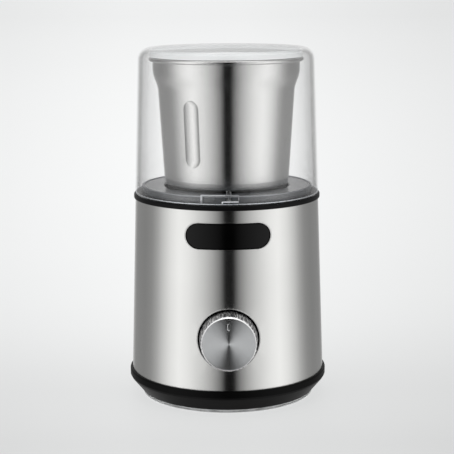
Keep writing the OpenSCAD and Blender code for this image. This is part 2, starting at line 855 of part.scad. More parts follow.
// Deck: the well for the cup, the rim with the lid's lugs, and the posts that hang the motor
module top_deck() {
    flange_out_r = skin_r(z_seam) - skin_t - slip;
    wall_in_r = deck_r - deck_wall_t;
    well_out_r = well_r + well_t;
    z_plate = z_deck - deck_t;
    color(deck_grey) difference() {
        union() {
            rotate_extrude() polygon(concat(
                [[well_r + deck_edge_r, z_deck]],
                arc(deck_r - deck_edge_r, z_deck - deck_edge_r, deck_edge_r, 90, 0, 3),
                [
                    [deck_r, z_seam - slip],
                    [flange_out_r, z_seam - slip],
                    [flange_out_r, z_flange],
                    [wall_in_r, z_flange],
                    [wall_in_r, z_plate],
                    [well_out_r, z_plate],
                    [well_out_r, z_well_under],
                    [coupling_hole_r, z_well_under],
                    [coupling_hole_r, z_well],
                    [well_r - well_edge, z_well],
                    [well_r, z_well + well_edge],
                    [well_r, z_deck - deck_edge_r]
                ]
            ));
            for (az = corner_az) facing(az)
                post(0, -post_r, boss_r, z_post, z_plate + bite);
            for (az = deck_screw_az) facing(az)
                post(0, -deck_screw_r, deck_post_r, z_deck_lug + deck_lug_t + slip, z_plate + bite);
            // Lugs that the lid's tracks hook over
            for (face = track_faces) facing(face + lug_az)
                translate([-lug_w / 2, -deck_r - lug_out, z_lug]) cube([lug_w, lug_out + over, lug_h]);
            // Tray for the interlock's spring and switch
            facing(pin_az) intersection() {
                ring(well_out_r - boss_bite, tray_out_r, z_tray, z_plate + bite);
                difference() {
                    translate([-tray_in_w / 2 - tray_wall, -y_clear, z_tray])
                        cube([tray_in_w + 2 * tray_wall, y_clear, z_deck - z_tray]);
                    translate([-tray_in_w / 2, -y_clear - over, z_tray + tray_floor_t])
                        cube([tray_in_w, y_clear + over - well_out_r, z_deck - z_tray]);
                }
            }
        }
        // Slots for the cup's keys
        for (az = cup_keys) facing(az)
            translate([-key_w / 2 - key_gap, -well_r - key_reach - key_gap, z_key - key_under])
                cube([key_w + 2 * key_gap, key_reach + key_gap + over, z_deck + over - z_key + key_under]);
        // Slot for the interlock's pin
        facing(pin_az) translate([-pin_w / 2 - gap, -deck_r - over, z_pin_slot])
            cube([pin_w + 2 * gap, deck_r + over - pin_mid_r + pin_t / 2 + gap, z_deck + over - z_pin_slot]);
        for (az = corner_az) facing(az)
            post(0, -post_r, screw_r + slip, z_post - over, z_post + motor_screw_in + over);
        for (az = deck_screw_az) facing(az)
            post(0, -deck_screw_r, screw_r + slip, z_deck_lug, z_deck_lug + deck_screw_len + over);
    }
}

// Three screws from below through the chassis's lugs into the deck
module deck_screws() {
    color(steel) for (az = deck_screw_az)
        facing(az) translate([0, -deck_screw_r, 0]) screw_up(z_deck_lug, deck_screw_len);
}

// Interlock pin: a blade in the deck's rim with a foot that presses the switch
module interlock_pin() {
    color(bright) facing(pin_az) {
        translate([-pin_w / 2, -pin_mid_r - pin_t / 2, z_pin_foot])
            cube([pin_w, pin_t, z_pin_top - z_pin_foot]);
        translate([-pin_w / 2, -pin_mid_r, z_pin_foot])
            cube([pin_w, pin_mid_r - pin_foot_in_r, pin_foot_t]);
    }
}

// Spring that lifts the interlock's pin
module interlock_spring() {
    color(steel) facing(pin_az) translate([0, -spring_mid_r, z_tray + tray_floor_t])
        coil(spring_r, spring_wire_r, spring_turns, z_pin_foot - z_tray - tray_floor_t);
}

// Switch under the interlock's pin
module interlock_switch() {
    z0 = z_tray + tray_floor_t;
    y_back = -(well_r + well_t) - slip;
    color(black) facing(pin_az) {
        translate([-micro_w / 2, y_back - micro_t, z0]) cube([micro_w, micro_t, micro_h]);
        post(0, y_back - micro_t / 2, micro_pin_r, z0 + micro_h - bite, z_pin_foot - pin_travel - 2 * slip);
    }
}

// ---- knob and button ----

// Turned aluminium knob with a knurled side and a bright bevel
module knob_body() {
    length = y_knob_back - y_knob;
    z_seat = length - face_t + 2 * slip;
    z_web = length - face_t - face_plug;
    color(bright) translate([0, y_knob_back, z_knob]) rotate([90, 0, 0]) difference() {
        rotate_extrude() polygon([
            [spindle_r + knob_wall, z_web],
            [knob_face_r - knob_bevel - face_ledge, z_web],
            [knob_face_r - knob_bevel - face_ledge, z_seat],
            [knob_face_r - knob_bevel, z_seat],
            [knob_face_r - knob_bevel, length],
            [knob_face_r, length - knob_bevel],
            [knob_r, 0],
            [knob_r - knob_wall, 0],
            [knob_face_r - knob_wall, z_web - knob_web_t],
            [spindle_r + knob_wall, z_web - knob_web_t],
            [spindle_r + knob_wall, 1],
            [spindle_r + slip / 2, 1],
            [spindle_r + slip / 2, z_web]
        ]);
        for (i = [0:knurls - 1]) rotate([0, 0, 360 * i / knurls])
            translate([knob_r + knurl_out, 0, -over]) rotate([0, -atan((knob_r - knob_face_r) / length), 0])
                cylinder(h = length - knob_bevel, r = knurl_r, $fn = 4);
    }
}

// Spun face set into the knob, with a pointer slot near its edge
module knob_face() {
    length = y_knob_back - y_knob;
    r = knob_face_r - knob_bevel - slip / 2;
    z_back = length - face_t + 2.5 * slip;
    color(steel) translate([0, y_knob_back, z_knob]) rotate([90, 0, 0]) difference() {
        union() {
            translate([0, 0, z_back]) cylinder(h = face_t - 4.5 * slip, r = r);
            translate([0, 0, length - face_t - face_plug + slip])
                cylinder(h = face_plug + 2 * slip, r = r - face_ledge - slip / 2);
        }
        translate([0, r - pointer_in, length - pointer_d])
            linear_extrude(pointer_d + over) rounded(pointer_w, pointer_len, pointer_w / 2 - 0.01);
    }
}

// Spindle of the rotary switch, with a flat for the knob
module knob_spindle() {
    y_tip = y_knob + face_t + face_plug + 2 * slip;
    color(steel) difference() {
        translate([0, 0, z_knob]) along_y(y_tip, y_pocket_in + spindle_in) circle(spindle_r);
        translate([-spindle_r - over, y_tip - over, z_knob + spindle_r - spindle_flat])
            cube([2 * spindle_r + 2 * over, y_knob_back - y_tip, spindle_r]);
    }
}

// Rotary switch behind the knob, with a flange for its screws and six terminals
module rotary_switch() {
    y0 = y_pocket_in + slip;
    flange_w = 2 * (switch_screw_x + switch_head_r + 3 * gap);
    color(rubber) translate([0, 0, z_knob]) difference() {
        union() {
            along_y(y0, y0 + switch_flange_t) rounded(flange_w, switch_flange_h, switch_corner_r + over);
            along_y(y0 + 4 * slip, y0 + switch_d) rounded(switch_w, switch_h, switch_corner_r);
            along_y(y_pocket + slip, y0 + over) circle(switch_neck_r);
            for (x = [-terminal_x, 0, terminal_x], z = [-terminal_z, terminal_z])
                translate([x - terminal.x / 2, y0 + switch_d - terminal.x, z - terminal.z / 2]) cube(terminal);
        }
        along_y(-y_clear, y_pocket_in + spindle_in + gap) circle(spindle_r + run);
        for (x = [-switch_screw_x, switch_screw_x]) translate([x, 0, 0])
            along_y(y0 - over, y0 + switch_flange_t + over) circle(switch_screw_r + slip);
    }
}

// Two screws that hold the rotary switch's flange to the pocket's floor
module switch_screws() {
    y_head = y_pocket_in + slip + switch_flange_t;
    color(steel) for (x = [-switch_screw_x, switch_screw_x]) translate([x, 0, z_knob]) {
        along_y(y_pocket_in - switch_screw_in, y_head) circle(switch_screw_r);
        along_y(y_head, y_head + small_head_h) circle(switch_head_r);
    }
}

// Glossy push button that follows the curve of the body, with two guides and a post at its back
module button_cap() {
    y_front = -skin_r(z_button);
    color(black) {
        difference() {
            union() {
                intersection() {
                    inside_skin(cap_edge_d, z_button - button_h, z_button + button_h);
                    along_y(-y_clear, y_cap_back) button_outline(-button_gap);
                }
                intersection() {
                    inside_skin(0, z_button - button_h, z_button + button_h);
                    along_y(-y_clear, y_cap_back) button_outline(-button_gap - cap_edge_w);
                }
            }
            intersection() {
                inside_skin(cap_wall + cap_edge_d, z_button - 2 * button_h, z_button + 2 * button_h);
                along_y(-y_clear, y_cap_back + over) button_outline(-button_gap - cap_wall);
            }
        }
        for (x = [-guide_x, guide_x]) translate([x, 0, z_button])
            along_y(y_front + cap_wall + over, y_bracket + bracket_t + over) circle(guide_r);
        translate([0, 0, z_button]) along_y(y_front + cap_wall + 2 * slip, y_cap_back) circle(cap_post_r);
    }
}

// Plunger of the button's switch
module button_plunger() {
    color(soft_grey) translate([0, 0, z_button])
        along_y(y_cap_back, y_bracket + bracket_t - button_travel - 2 * slip) circle(plunger_r);
}

// Bracket across the front that guides the button and carries its switch
module button_bracket() {
    z0 = z_bracket_screw - bracket_edge;
    color(black) difference() {
        translate([-bracket_w / 2, y_bracket, z0]) cube([bracket_w, bracket_t, z_button + bracket_up - z0]);
        for (x = [-guide_x, guide_x]) translate([x, 0, z_button])
            along_y(y_bracket - over, y_bracket + bracket_t + over) circle(guide_r + gap);
        for (x = [-bracket_screw_x, bracket_screw_x]) translate([x, 0, z_bracket_screw])
            along_y(y_bracket - over, y_bracket + bracket_t + over) circle(small_screw_r + slip);
        translate([-push_w / 2 - slip, y_bracket - over, z_button - push_h / 2 - slip])
            cube([push_w + 2 * slip, bracket_t + 2 * over, push_h + 2 * slip]);
    }
}

// Two screws that hold the button's bracket to the chassis
module bracket_screws() {
    y_head = y_bracket + bracket_t;
    color(steel) for (x = [-bracket_screw_x, bracket_screw_x]) translate([x, 0, z_bracket_screw]) {
        along_y(y_bracket - small_screw_in, y_head) circle(small_screw_r);
        along_y(y_head, y_head + small_head_h) circle(small_head_r);
    }
}

// Switch that the button presses, held in the bracket's window
module button_switch() {
    y_back = y_bracket + bracket_t + push_back;
    color(rubber) difference() {
        translate([-push_w / 2, y_bracket - push_front, z_button - push_h / 2])
            cube([push_w, y_back - y_bracket + push_front, push_h]);
        translate([0, 0, z_button]) along_y(-y_clear, y_back - 4 * slip) circle(plunger_r + gap);
    }
}

// ---- motor ----

// Steel stack with two poles that face the rotor
module stator_core() {
    color(steel) difference() {
        translate([0, 0, z_stator]) linear_extrude(stator_h) difference() {
            union() {
                difference() {
                    rounded(stator_w, stator_d, stator_corner_r);
                    rounded(stator_w - 2 * yoke_t, stator_d - 2 * yoke_t, window_corner_r);
                }
                square([stator_w - yoke_t, pole_w], center = true);
                difference() {
                    circle(bore_r + shoe_t);
                    for (side = [0, 180]) rotate(side)
                        translate([-shoe_gap / 2, shoe_gap]) square([shoe_gap, stator_d]);
                }
            }
            circle(bore_r);
        }
        for (x = [-1, 1], y = [-1, 1])
            post(x * stator_x, y * stator_y, screw_r + slip, z_stator - over, z_stator_top + over);
    }
}

// Copper coils wound round the two poles
module field_coils() {
    x_in = bore_r + shoe_t + coil_gap;
    x_out = x_in + coil_room - 2 * coil_gap;
    color(copper) for (side = [0, 180]) rotate([0, 0, side]) along_x(x_in, x_out)
        translate([0, (z_stator + z_stator_top) / 2]) difference() {
            rounded(pole_w + 2 * coil_side, stator_h + 2 * coil_over, coil_corner_r);
            rounded(pole_w + 2 * coil_gap, stator_h + 2 * coil_gap, coil_gap);
        }
}

// One arm of a motor bracket, from the hub to a corner of the stator
module bracket_arm(x, y, z0, z1, w) {
    rotate([0, 0, atan2(y, x)]) translate([0, -w / 2, z0])
        cube([sqrt(x * x + y * y), w, z1 - z0]);
}

// Bracket above the stator: the upper bearing's housing, and ears that hang from the deck
module upper_bracket() {
    ear_xy = post_r * cos(45);
    color(steel) difference() {
        union() {
            post(0, 0, bearing_r + bearing_wall, z_upper_hub - bearing_h - bearing_cap, z_upper_hub);
            for (x = [-1, 1], y = [-1, 1]) {
                bracket_arm(x * stator_x, y * stator_y, z_ear, z_ear_top - 0.4, arm_w);
                bracket_arm(x * ear_xy, y * ear_xy, z_ear + 0.3, z_ear_top, ear_arm_w);
                post(x * ear_xy, y * ear_xy, ear_r, z_ear, z_ear_top);
                post(x * stator_x, y * stator_y, leg_r, z_stator_top, z_ear_top);
            }
        }
        post(0, 0, bearing_r + slip / 2, z_upper_hub - bearing_h, z_upper_hub + over);
        post(0, 0, motor_shaft_r + over, z_stator_top, z_upper_hub);
        for (x = [-1, 1], y = [-1, 1]) {
            post(x * ear_xy, y * ear_xy, screw_r + slip, z_ear - over, z_ear_top + over);
            post(x * ear_xy, y * ear_xy, screw_head_r + gap, z_stator_top - over, z_ear);
            post(x * stator_x, y * stator_y, screw_r + slip, z_stator_top - over, z_ear_top - over);
        }
    }
}

// Bracket below the stator: the lower bearing's housing, and pads for the brush holders
module lower_bracket() {
    pad_out = commutator_r + holder_gap + holder_len + over;
    z_pad = z_lower + pad_up;
    color(steel) difference() {
        union() {
            post(0, 0, bearing_r + bearing_wall, z_lower, z_lower_hub);
            for (x = [-1, 1], y = [-1, 1]) {
                bracket_arm(x * stator_x, y * stator_y, z_lower + 0.4, z_lower_top, arm_w);
                post(x * stator_x, y * stator_y, leg_r, z_lower, z_stator);
            }
            translate([-pad_out, -pad_w / 2, z_pad])
                cube([2 * pad_out, pad_w, z_brush - holder_w / 2 - z_pad]);
        }
        post(0, 0, bearing_r + slip / 2, z_lower - over, z_lower + bearing_h);
        post(0, 0, motor_shaft_r + over, z_lower, z_stator);
        post(0, 0, commutator_r + 4 * gap, z_lower_hub, z_stator);
        for (x = [-1, 1], y = [-1, 1])
            post(x * stator_x, y * stator_y, screw_r + slip, z_lower - over, z_stator + over);
    }
}

// The two sintered bushes that the motor's shaft runs in
module motor_bearings() {
    color(brass) {
        ring(motor_shaft_r + run, bearing_r, z_upper_hub - bearing_h, z_upper_hub);
        ring(motor_shaft_r + run, bearing_r, z_lower, z_lower + bearing_h);
    }
}

// Four long screws that clamp the brackets to the stator
module stator_screws() {
    color(steel) for (x = [-1, 1], y = [-1, 1]) translate([x * stator_x, y * stator_y, 0])
        screw_up(z_lower, z_ear_top - clamp_short - z_lower);
}

// Rubber mounts between the motor's ears and the deck's posts
module motor_mounts() {
    color(rubber) for (az = corner_az) facing(az) translate([0, -post_r, 0])
        ring(screw_r + slip, boss_r + mount_w, z_ear_top, z_post);
}

// Four screws that hang the motor from the deck
module motor_screws() {
    color(steel) for (az = corner_az)
        facing(az) translate([0, -post_r, 0]) screw_up(z_ear, ear_t + mount_h + motor_screw_in);
}

// Brass boxes that guide the carbon brushes
module brush_holders() {
    color(brass) for (side = [0, 180]) rotate([0, 0, side]) difference() {
        translate([commutator_r + holder_gap, -holder_w / 2, z_brush - holder_w / 2])
            cube([holder_len, holder_w, holder_w]);
        translate([0, -brush_w / 2 - slip, z_brush - brush_w / 2 - slip])
            cube([commutator_r + holder_len, brush_w + 2 * slip, brush_w + 2 * slip]);
    }
}

// Carbon brushes against the commutator
module carbon_brushes() {
    color(black) for (side = [0, 180]) rotate([0, 0, side]) difference() {
        translate([commutator_r - brush_into, -brush_w / 2, z_brush - brush_w / 2])
            cube([brush_into + brush_len, brush_w, brush_w]);
        post(0, 0, commutator_r + gap, z_brush - holder_w, z_brush + holder_w);
    }
}

// Springs that press the brushes in
module brush_springs() {
    color(steel) for (side = [0, 180]) rotate([0, 0, side])
        translate([commutator_r + brush_len, 0, z_brush]) rotate([0, 90, 0])
            coil(brush_spring_r, brush_wire_r, brush_spring_turns, holder_len - brush_len);
}

// Motor shaft, from below the fan to the coupling
module motor_shaft() {
    color(bright) post(0, 0, motor_shaft_r, z_shaft_foot, z_shaft_top);
}

// Laminated rotor core with open slots
module armature_core() {
    color(steel) translate([0, 0, z_stator]) linear_extrude(stator_h) difference() {
        circle(rotor_r);
        circle(motor_shaft_r + slip / 2);
        for (i = [0:rotor_slots - 1]) rotate(360 * i / rotor_slots) {
            translate([rotor_r - rotor_slot_in, 0]) circle(rotor_slot_r);
            translate([rotor_r - rotor_slot_in, -rotor_slot_w / 2]) square([rotor_slot_in + over, rotor_slot_w]);
        }
    }
}

// Copper in the rotor's slots, joined by the windings at both ends
module armature_windings() {
    r_out = rotor_r - 2 * winding_in + 2 * slip;
    color(copper) {
        for (i = [0:rotor_slots - 1]) rotate([0, 0, 360 * i / rotor_slots])
            post(rotor_r - rotor_slot_in, 0, rotor_slot_r - slip, z_stator - over, z_stator_top + over);
        for (z = [z_stator - winding_h - slip, z_stator_top + slip])
            translate([0, 0, z]) rotate_extrude() polygon([
                [motor_shaft_r + winding_in, 0],
                [r_out, 0],
                [r_out + winding_in / 2, winding_in],
                [r_out, winding_h - winding_in / 2],
                [r_out - 1.5 * winding_in, winding_h],
                [motor_shaft_r + winding_in, winding_h]
            ]);
    }
}

// Commutator: copper bars round the shaft
module commutator() {
    z0 = z_lower_hub + 2 * gap;
    z1 = z_stator - commutator_room;
    color(copper) difference() {
        union() {
            ring(motor_shaft_r + slip / 2, commutator_r, z0, z1 - riser_h);
            ring(motor_shaft_r + slip / 2, commutator_r + riser_out, z1 - riser_h, z1);
        }
        for (i = [0:rotor_slots - 1]) rotate([0, 0, 360 * (i + 0.5) / rotor_slots])
            translate([commutator_r - bar_gap_d, -bar_gap / 2, z0 - over])
                cube([bar_gap_d + riser_out + over, bar_gap, z1 - z0 + 2 * over]);
    }
}

// Radial fan below the motor, with curved blades under a plate
module fan() {
    hub = motor_shaft_r + fan_hub_t;
    z_plate = z_fan_top - fan_plate_t;
    color(black) difference() {
        union() {
            post(0, 0, hub, z_fan - bite * 5, z_fan_top + over);
            ring(motor_shaft_r + over, fan_r, z_plate, z_fan_top);
            for (i = [0:fan_blades - 1]) rotate([0, 0, 360 * i / fan_blades]) intersection() {
                ring(hub - 6 * bite, fan_r - 6 * bite, z_fan, z_plate + 4 * bite);
                translate([fan_r * 0.58, fan_r * 0.34, 0]) sector(fan_r * 0.5, fan_r * 0.5 + fan_blade_t,
                    z_fan, z_plate + 4 * bite, 0, 150);
            }
        }
        post(0, 0, motor_shaft_r + slip / 2, z_fan - 2 * over, z_fan_top + 2 * over);
    }
}

// Lower half of the coupling, with dogs that stand up
module drive_coupling() {
    color(black) {
        difference() {
            union() {
                post(0, 0, coupling_r, z_well_under - 2 * gap, z_dog);
                post(0, 0, coupling_in_r - coupling_wall, z_well_under - over, z_shaft_top + 4 * slip);
            }
            post(0, 0, motor_shaft_r + slip / 2, z_well_under - 2 * over, z_shaft_top + slip);
        }
        for (i = [0:dogs - 1]) sector(coupling_in_r, coupling_r - dog_inset, z_dog - bite,
            z_dog + dog_h, 360 * i / dogs, dog_angle);
    }
}

// Board at the back with the parts that drive the motor
module control_board() {
    color(board_green) difference() {
        translate([0, 0, z_board]) along_y(board_y, board_y + board_t)
            square([board_w, board_h], center = true);
        for (x = [-board_screw_x, board_screw_x], z = board_screw_z) translate([x, 0, z])
            along_y(board_y - over, board_y + board_t + over) circle(small_screw_r + slip);
    }
}

// A part on the board: a block that stands out from it by d, its lower corner at x and z from the middle
module board_block(x, z, w, h, d) {
    translate([x, board_y - d, z_board + z]) cube([w, d, h]);
}

// Parts on the board: a capacitor, a relay, a round capacitor, a choke and the terminals
module board_parts() {
    w = board_w / 4;
    choke_r = board_w / 9;
    color([0.85, 0.7, 0.2]) board_block(-1.3 * w, -w / 3, w, w, w * 0.6);
    color(rubber) board_block(0.1 * w, -w / 3, 1.3 * w, w, w * 0.7);
    color(black) translate([-w * 0.7, 0, z_board - 1.3 * w]) along_y(board_y - w / 2, board_y) circle(w / 3);
    color(copper) translate([w * 0.6, 0, z_board - 1.1 * w]) difference() {
        along_y(board_y - choke_r * 1.2, board_y) circle(choke_r);
        along_y(board_y - choke_r * 1.2 - over, board_y - choke_r * 0.2) circle(choke_r * 0.45);
    }
    color(soft_grey) board_block(-w, w, 2 * w, w / 2, w / 2);
}

// Screws that hold the board to the chassis's posts
module board_screws() {
    color(steel) for (x = [-board_screw_x, board_screw_x], z = board_screw_z) translate([x, 0, z]) {
        along_y(board_y, board_y + board_t + small_screw_in) circle(small_screw_r);
        along_y(board_y - small_head_h, board_y) circle(small_head_r);
    }
}

// ---- cup and blade ----

// Capsule that presses a groove into the cup, grown by a margin
module groove_tool(grow) {
    r = (groove_w * groove_w / 4 + groove_d * groove_d) / (2 * groove_d);
    z0 = z_cup + groove_up + groove_w / 2;
    z1 = z_flare - groove_below - groove_w / 2;
    lean = atan(cup_taper);
    facing(groove_az) translate([0, -taper_r(z0) - r + groove_d, z0]) rotate([lean, 0, 0]) {
        cylinder(h = (z1 - z0) / cos(lean), r = r + grow);
        sphere(r + grow);
        translate([0, 0, (z1 - z0) / cos(lean)]) sphere(r + grow);
    }
}

// Outline of the cup's outside, from the centre of its bottom to the top of its neck
function cup_outline(inset) = concat(
    [[0, z_cup + inset]],
    arc(cup_bottom_r - cup_corner_r, z_taper, cup_corner_r - inset, -90, -3, 8),
    [[taper_r(z_flare) - inset, z_flare]],
    [for (i = [1:12]) let (z = z_flare + flare_h * i / 12) [cup_r(z) - inset, z]],
    [[neck_r - inset, z_bead + 0.4], [0, z_bead + 0.4]]
);

// Deep-drawn steel cup with a rolled bead, a flared neck and two pressed grooves
module grinding_cup() {
    color(steel) {
        difference() {
            union() {
                difference() {
                    rotate_extrude() polygon(cup_outline(0));
                    rotate_extrude() polygon(concat(
                        cup_outline(cup_t), [[0, z_rim + 1]]));
                    ring(0.001, neck_r - cup_t, z_bead, z_rim + 1);
                }
                intersection() {
                    union() {
                        groove_tool(cup_t);
                        rotate([0, 0, 180]) groove_tool(cup_t);
                    }
                    rotate_extrude() polygon(cup_outline(cup_t / 2));
                }
            }
            groove_tool(0);
            rotate([0, 0, 180]) groove_tool(0);
            post(0, 0, bush_r + slip, z_cup - 1, z_cup + 2);
        }
        translate([0, 0, z_bead]) rotate_extrude() translate([bead_mid_r, 0]) circle(bead_r);
    }
}

// Plastic foot under the cup, with keys that stop it from turning in the well
module cup_foot() {
    z_plate = z_cup - foot_plate_t;
    rib_in_r = bush_flange_r + 2;
    color(black) difference() {
        union() {
            rotate_extrude() polygon([
                [bush_r + slip, z_cup - slip],
                [cup_foot_r - well_edge, z_cup - slip],
                [cup_foot_r, z_cup - well_edge],
                [cup_foot_r, z_foot_low + 1],
                [cup_foot_r - 0.8, z_foot_low],
                [cup_foot_r - cup_foot_t, z_foot_low],
                [cup_foot_r - cup_foot_t, z_plate],
                [bush_r + slip, z_plate]
            ]);
            for (az = cup_keys) facing(az)
                translate([-key_w / 2, -well_r - key_reach, z_key])
                    cube([key_w, well_r + 2 * key_reach - cup_foot_r, key_h]);
            for (i = [0:foot_ribs - 1]) facing(360 * i / foot_ribs)
                translate([-foot_rib_t / 2, -cup_foot_r + over, z_plate - foot_rib_h + bite])
                    cube([foot_rib_t, cup_foot_r - rib_in_r, foot_rib_h]);
        }
        ring(0.001, rib_in_r, z_foot_low - over, z_plate);
    }
}

// Threaded bush through the cup's bottom that the blade's shaft runs in
module blade_bush() {
    z0 = z_cup + cup_t + bush_gasket_t;
    color(bright) difference() {
        union() {
            post(0, 0, bush_r, z_cup - bush_len, z0 + bite);
            translate([0, 0, z0]) cylinder(h = bush_flange_t, r1 = bush_flange_r, r2 = bush_flange_r - bush_cone);
        }
        post(0, 0, blade_shaft_r + run, z_cup - bush_len - over, z_bush_top + over);
        post(0, 0, blade_shaft_r + seal_w, z_bush_top - seal_h, z_bush_top + over);
    }
}

// Silicone washer between the bush's flange and the cup
module bush_gasket() {
    color(rubber) ring(bush_r + slip, bush_flange_r - gap, z_cup + cup_t, z_cup + cup_t + bush_gasket_t);
}

// Nut that clamps the bush, the cup and the foot together
module bush_nut() {
    z1 = z_cup - foot_plate_t;
    color(brass) difference() {
        translate([0, 0, z1 - nut_h]) cylinder(h = nut_h, r = bush_r + nut_wall, $fn = 6);
        post(0, 0, bush_r + slip / 2, z1 - nut_h - over, z1 + over);
    }
}

// Lip seal round the blade's shaft at the bush's top
module shaft_seal() {
    color(rubber) ring(blade_shaft_r + gap, blade_shaft_r + seal_w - slip / 2,
        z_bush_top - seal_h, z_bush_top - slip);
}

// Outline of one blade wing: a swept cutting edge in front, a hollowed back edge
module wing_outline() {
    difference() {
        intersection() {
            translate([0, -wing_w / 2]) square([blade_r, wing_w]);
            circle(blade_r);
            translate([0, -wing_w * 0.62]) circle(blade_r + wing_w / 7);
        }
        translate([blade_r * 0.62, wing_w * 1.22]) circle(wing_w * 0.95);
    }
}

// One wing, bent at its root and ground to an edge on its leading side
module wing(bend) {
    translate([wing_root, 0, 0]) rotate([0, -bend, 0]) translate([-wing_root, 0, 0]) difference() {
        linear_extrude(blade_t) difference() {
            wing_outline();
            translate([-over, -wing_w]) square([wing_root + over - root_lap, 2 * wing_w]);
        }
        translate([0, -wing_w / 2, blade_t]) rotate([-edge_angle, 0, 0])
            translate([0, -4 * over, -edge_t]) cube([blade_r + over, 4 * over + edge_w, 4 * over]);
    }
}

// Two-winged grinding blade: one wing is bent up and the other down
module blade() {
    color(bright) translate([0, 0, z_blade]) difference() {
        union() {
            cylinder(h = blade_t, r = hub_r);
            wing(wing_up);
            rotate([0, 0, 180]) wing(-wing_down);
        }
        translate([0, 0, -over]) cylinder(h = blade_t + 2 * over, r = blade_shaft_r - blade_step + slip / 2);
    }
}

// Blade shaft: stepped at the top for the blade
module blade_shaft() {
    z_step = z_blade - washer_t;
    color(steel) {
        post(0, 0, blade_shaft_r, z_shaft_top + dog_seat, z_step + 2 * gap);
        post(0, 0, blade_shaft_r - blade_step, z_step, z_blade_top + blade_nut_h + 2 * gap);
    }
}

// Spacer under the blade
module blade_washer() {
    color(bright) ring(blade_shaft_r + slip / 2, hub_r - washer_in, z_blade - washer_t, z_blade);
}

// Hexagonal nut on top of the blade
module blade_nut() {
    z1 = z_blade_top + blade_nut_h;
    color(bright) difference() {
        translate([0, 0, z_blade_top]) cylinder(h = blade_nut_h, r = blade_nut_r, $fn = 6);
        post(0, 0, blade_shaft_r - blade_step + slip / 2, z_blade_top - over, z1 + over);
    }
}

// Upper half of the coupling, with dogs that reach down between the lower ones
module driven_coupling() {
    z0 = z_dog + dog_h + gap + 2 * slip;
    color(black) {
        difference() {
            union() {
                post(0, 0, coupling_r, z0, z0 + coupling_plate_t);
                post(0, 0, coupling_in_r - coupling_wall, z_shaft_top + 3 * gap, z0 + bite);
            }
            post(0, 0, blade_shaft_r + slip / 2, z_shaft_top, z0 + coupling_plate_t + over);
        }
        for (i = [0:dogs - 1]) sector(coupling_in_r, coupling_r - dog_inset, z_dog + 2 * gap, z0 + bite,
            360 * (i + 0.5) / dogs, driven_dog_angle);
    }
}

// ---- lid ----

// Silicone ring that seals the lid's skirt to the cup's bead
module lid_gasket() {
    skirt_in_r = skirt_r - skirt_t;
    color(soft_grey) rotate_extrude() polygon([
        [skirt_in_r - gap - lip_t, z_gasket],
        [skirt_r + gap + lip_t, z_gasket],
        [skirt_r + gap + lip_t, z_skirt + lip_h],
        [skirt_r + gap, z_skirt + lip_h],
        [skirt_r + gap, z_skirt],
        [skirt_in_r - gap, z_skirt],
        [skirt_in_r - gap, z_skirt + lip_h],
        [skirt_in_r - gap - lip_t, z_skirt + lip_h]
    ]);
}

// Outline of the lid's outside or inside
function lid_outline(inset) = concat(
    [[lid_bottom_r - inset, z_lid_low]],
    arc(lid_top_r - shoulder_r, z_shoulder, shoulder_r - inset, 2, 90, 12),
    [[0, z_lid - inset]]
);

// Frame of ribs on the lid's inside that makes one bayonet track, at the front
module lid_track() {
    r_out = lid_r(z_track) - lid_t + 0.6;
    half = rib_az / 2;
    difference() {
        span(rib_r, r_out, z_lid_low + 0.3, z_track + rib_t, track_left - half, track_right + half);
        // The lug's way along, between the ledge and the top rib
        span(rib_r - 1, r_out + 1, z_ledge + rib_t, z_track, track_left + half, track_right - half);
        // Its way in, open below
        span(rib_r - 1, r_out + 1, z_lid_low - 1, z_ledge + rib_t + 0.2, track_left + half, track_ledge - half);
        // Room below the ledge
        span(rib_r - 1, r_out + 1, z_lid_low - 1, z_ledge, track_ledge + half, track_right + 1);
    }
}

// Ramp on the lid's inside that presses the interlock's pin as the lid turns
module lid_ramp() {
    r_out = lid_r(z_pin_top) - lid_t + 0.6;
    start = pin_az + 2.2;
    hull() for (t = [0, 1])
        sector(pin_mid_r - pin_t / 2, r_out, z_pin_top + gap - pin_travel * t, z_pin_top + 2,
            start + lid_turn * t, 0.4, $fn = 32);
}

// Clear lid: tapered wall, rounded shoulder, ring for the gasket and two bayonet tracks
module lid() {
    color(clear) {
        difference() {
            rotate_extrude() polygon(concat(lid_outline(0), [[0, z_lid_low]]));
            rotate_extrude() polygon(concat(
                [[0, z_lid_low - 1], [lid_bottom_r - lid_t, z_lid_low - 1]], lid_outline(lid_t)));
        }
        ring(skirt_r - skirt_t, skirt_r, z_skirt + slip, z_lid - lid_t + 0.1);
        for (face = track_faces) facing(face) {
            lid_track();
            lid_ramp();
        }
    }
}

// ---- assembly ----

foot_ring();
bottom_cover();
cover_screws();
base_ring();
body_skin();
chassis();
cord_bush();
seam_ring();
top_deck();
deck_screws();
knob_body();
knob_face();
knob_spindle();
rotary_switch();
switch_screws();
button_cap();
button_plunger();
button_bracket();
bracket_screws();
button_switch();
interlock_pin();
interlock_spring();
interlock_switch();
stator_core();
field_coils();
upper_bracket();
lower_bracket();
motor_bearings();
stator_screws();
motor_mounts();
motor_screws();
brush_holders();
carbon_brushes();
brush_springs();
motor_shaft();
armature_core();
armature_windings();
commutator();
fan();
drive_coupling();
control_board();
board_parts();
board_screws();
grinding_cup();
cup_foot();
blade_bush();
bush_gasket();
bush_nut();
shaft_seal();
blade();
blade_shaft();
blade_washer();
blade_nut();
driven_coupling();
lid_gasket();
lid();
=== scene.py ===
# %% [markdown]
# # An electric spice grinder, dressed in its finishes
#
# The engineer's model arrives with every piece already in place: the motor base, the knob and its
# button, the steel cup with its blade, and the clear lid. What is left for us is what a polishing shop
# and a moulding shop would do. Each cell looks at one finish of the real thing, says how it comes
# about in the factory, and then builds it out of shader nodes. A few thin edges and ribs that catch
# the light, and one spring, are made here as meshes of their own.

# %% Load the model
import json
import math

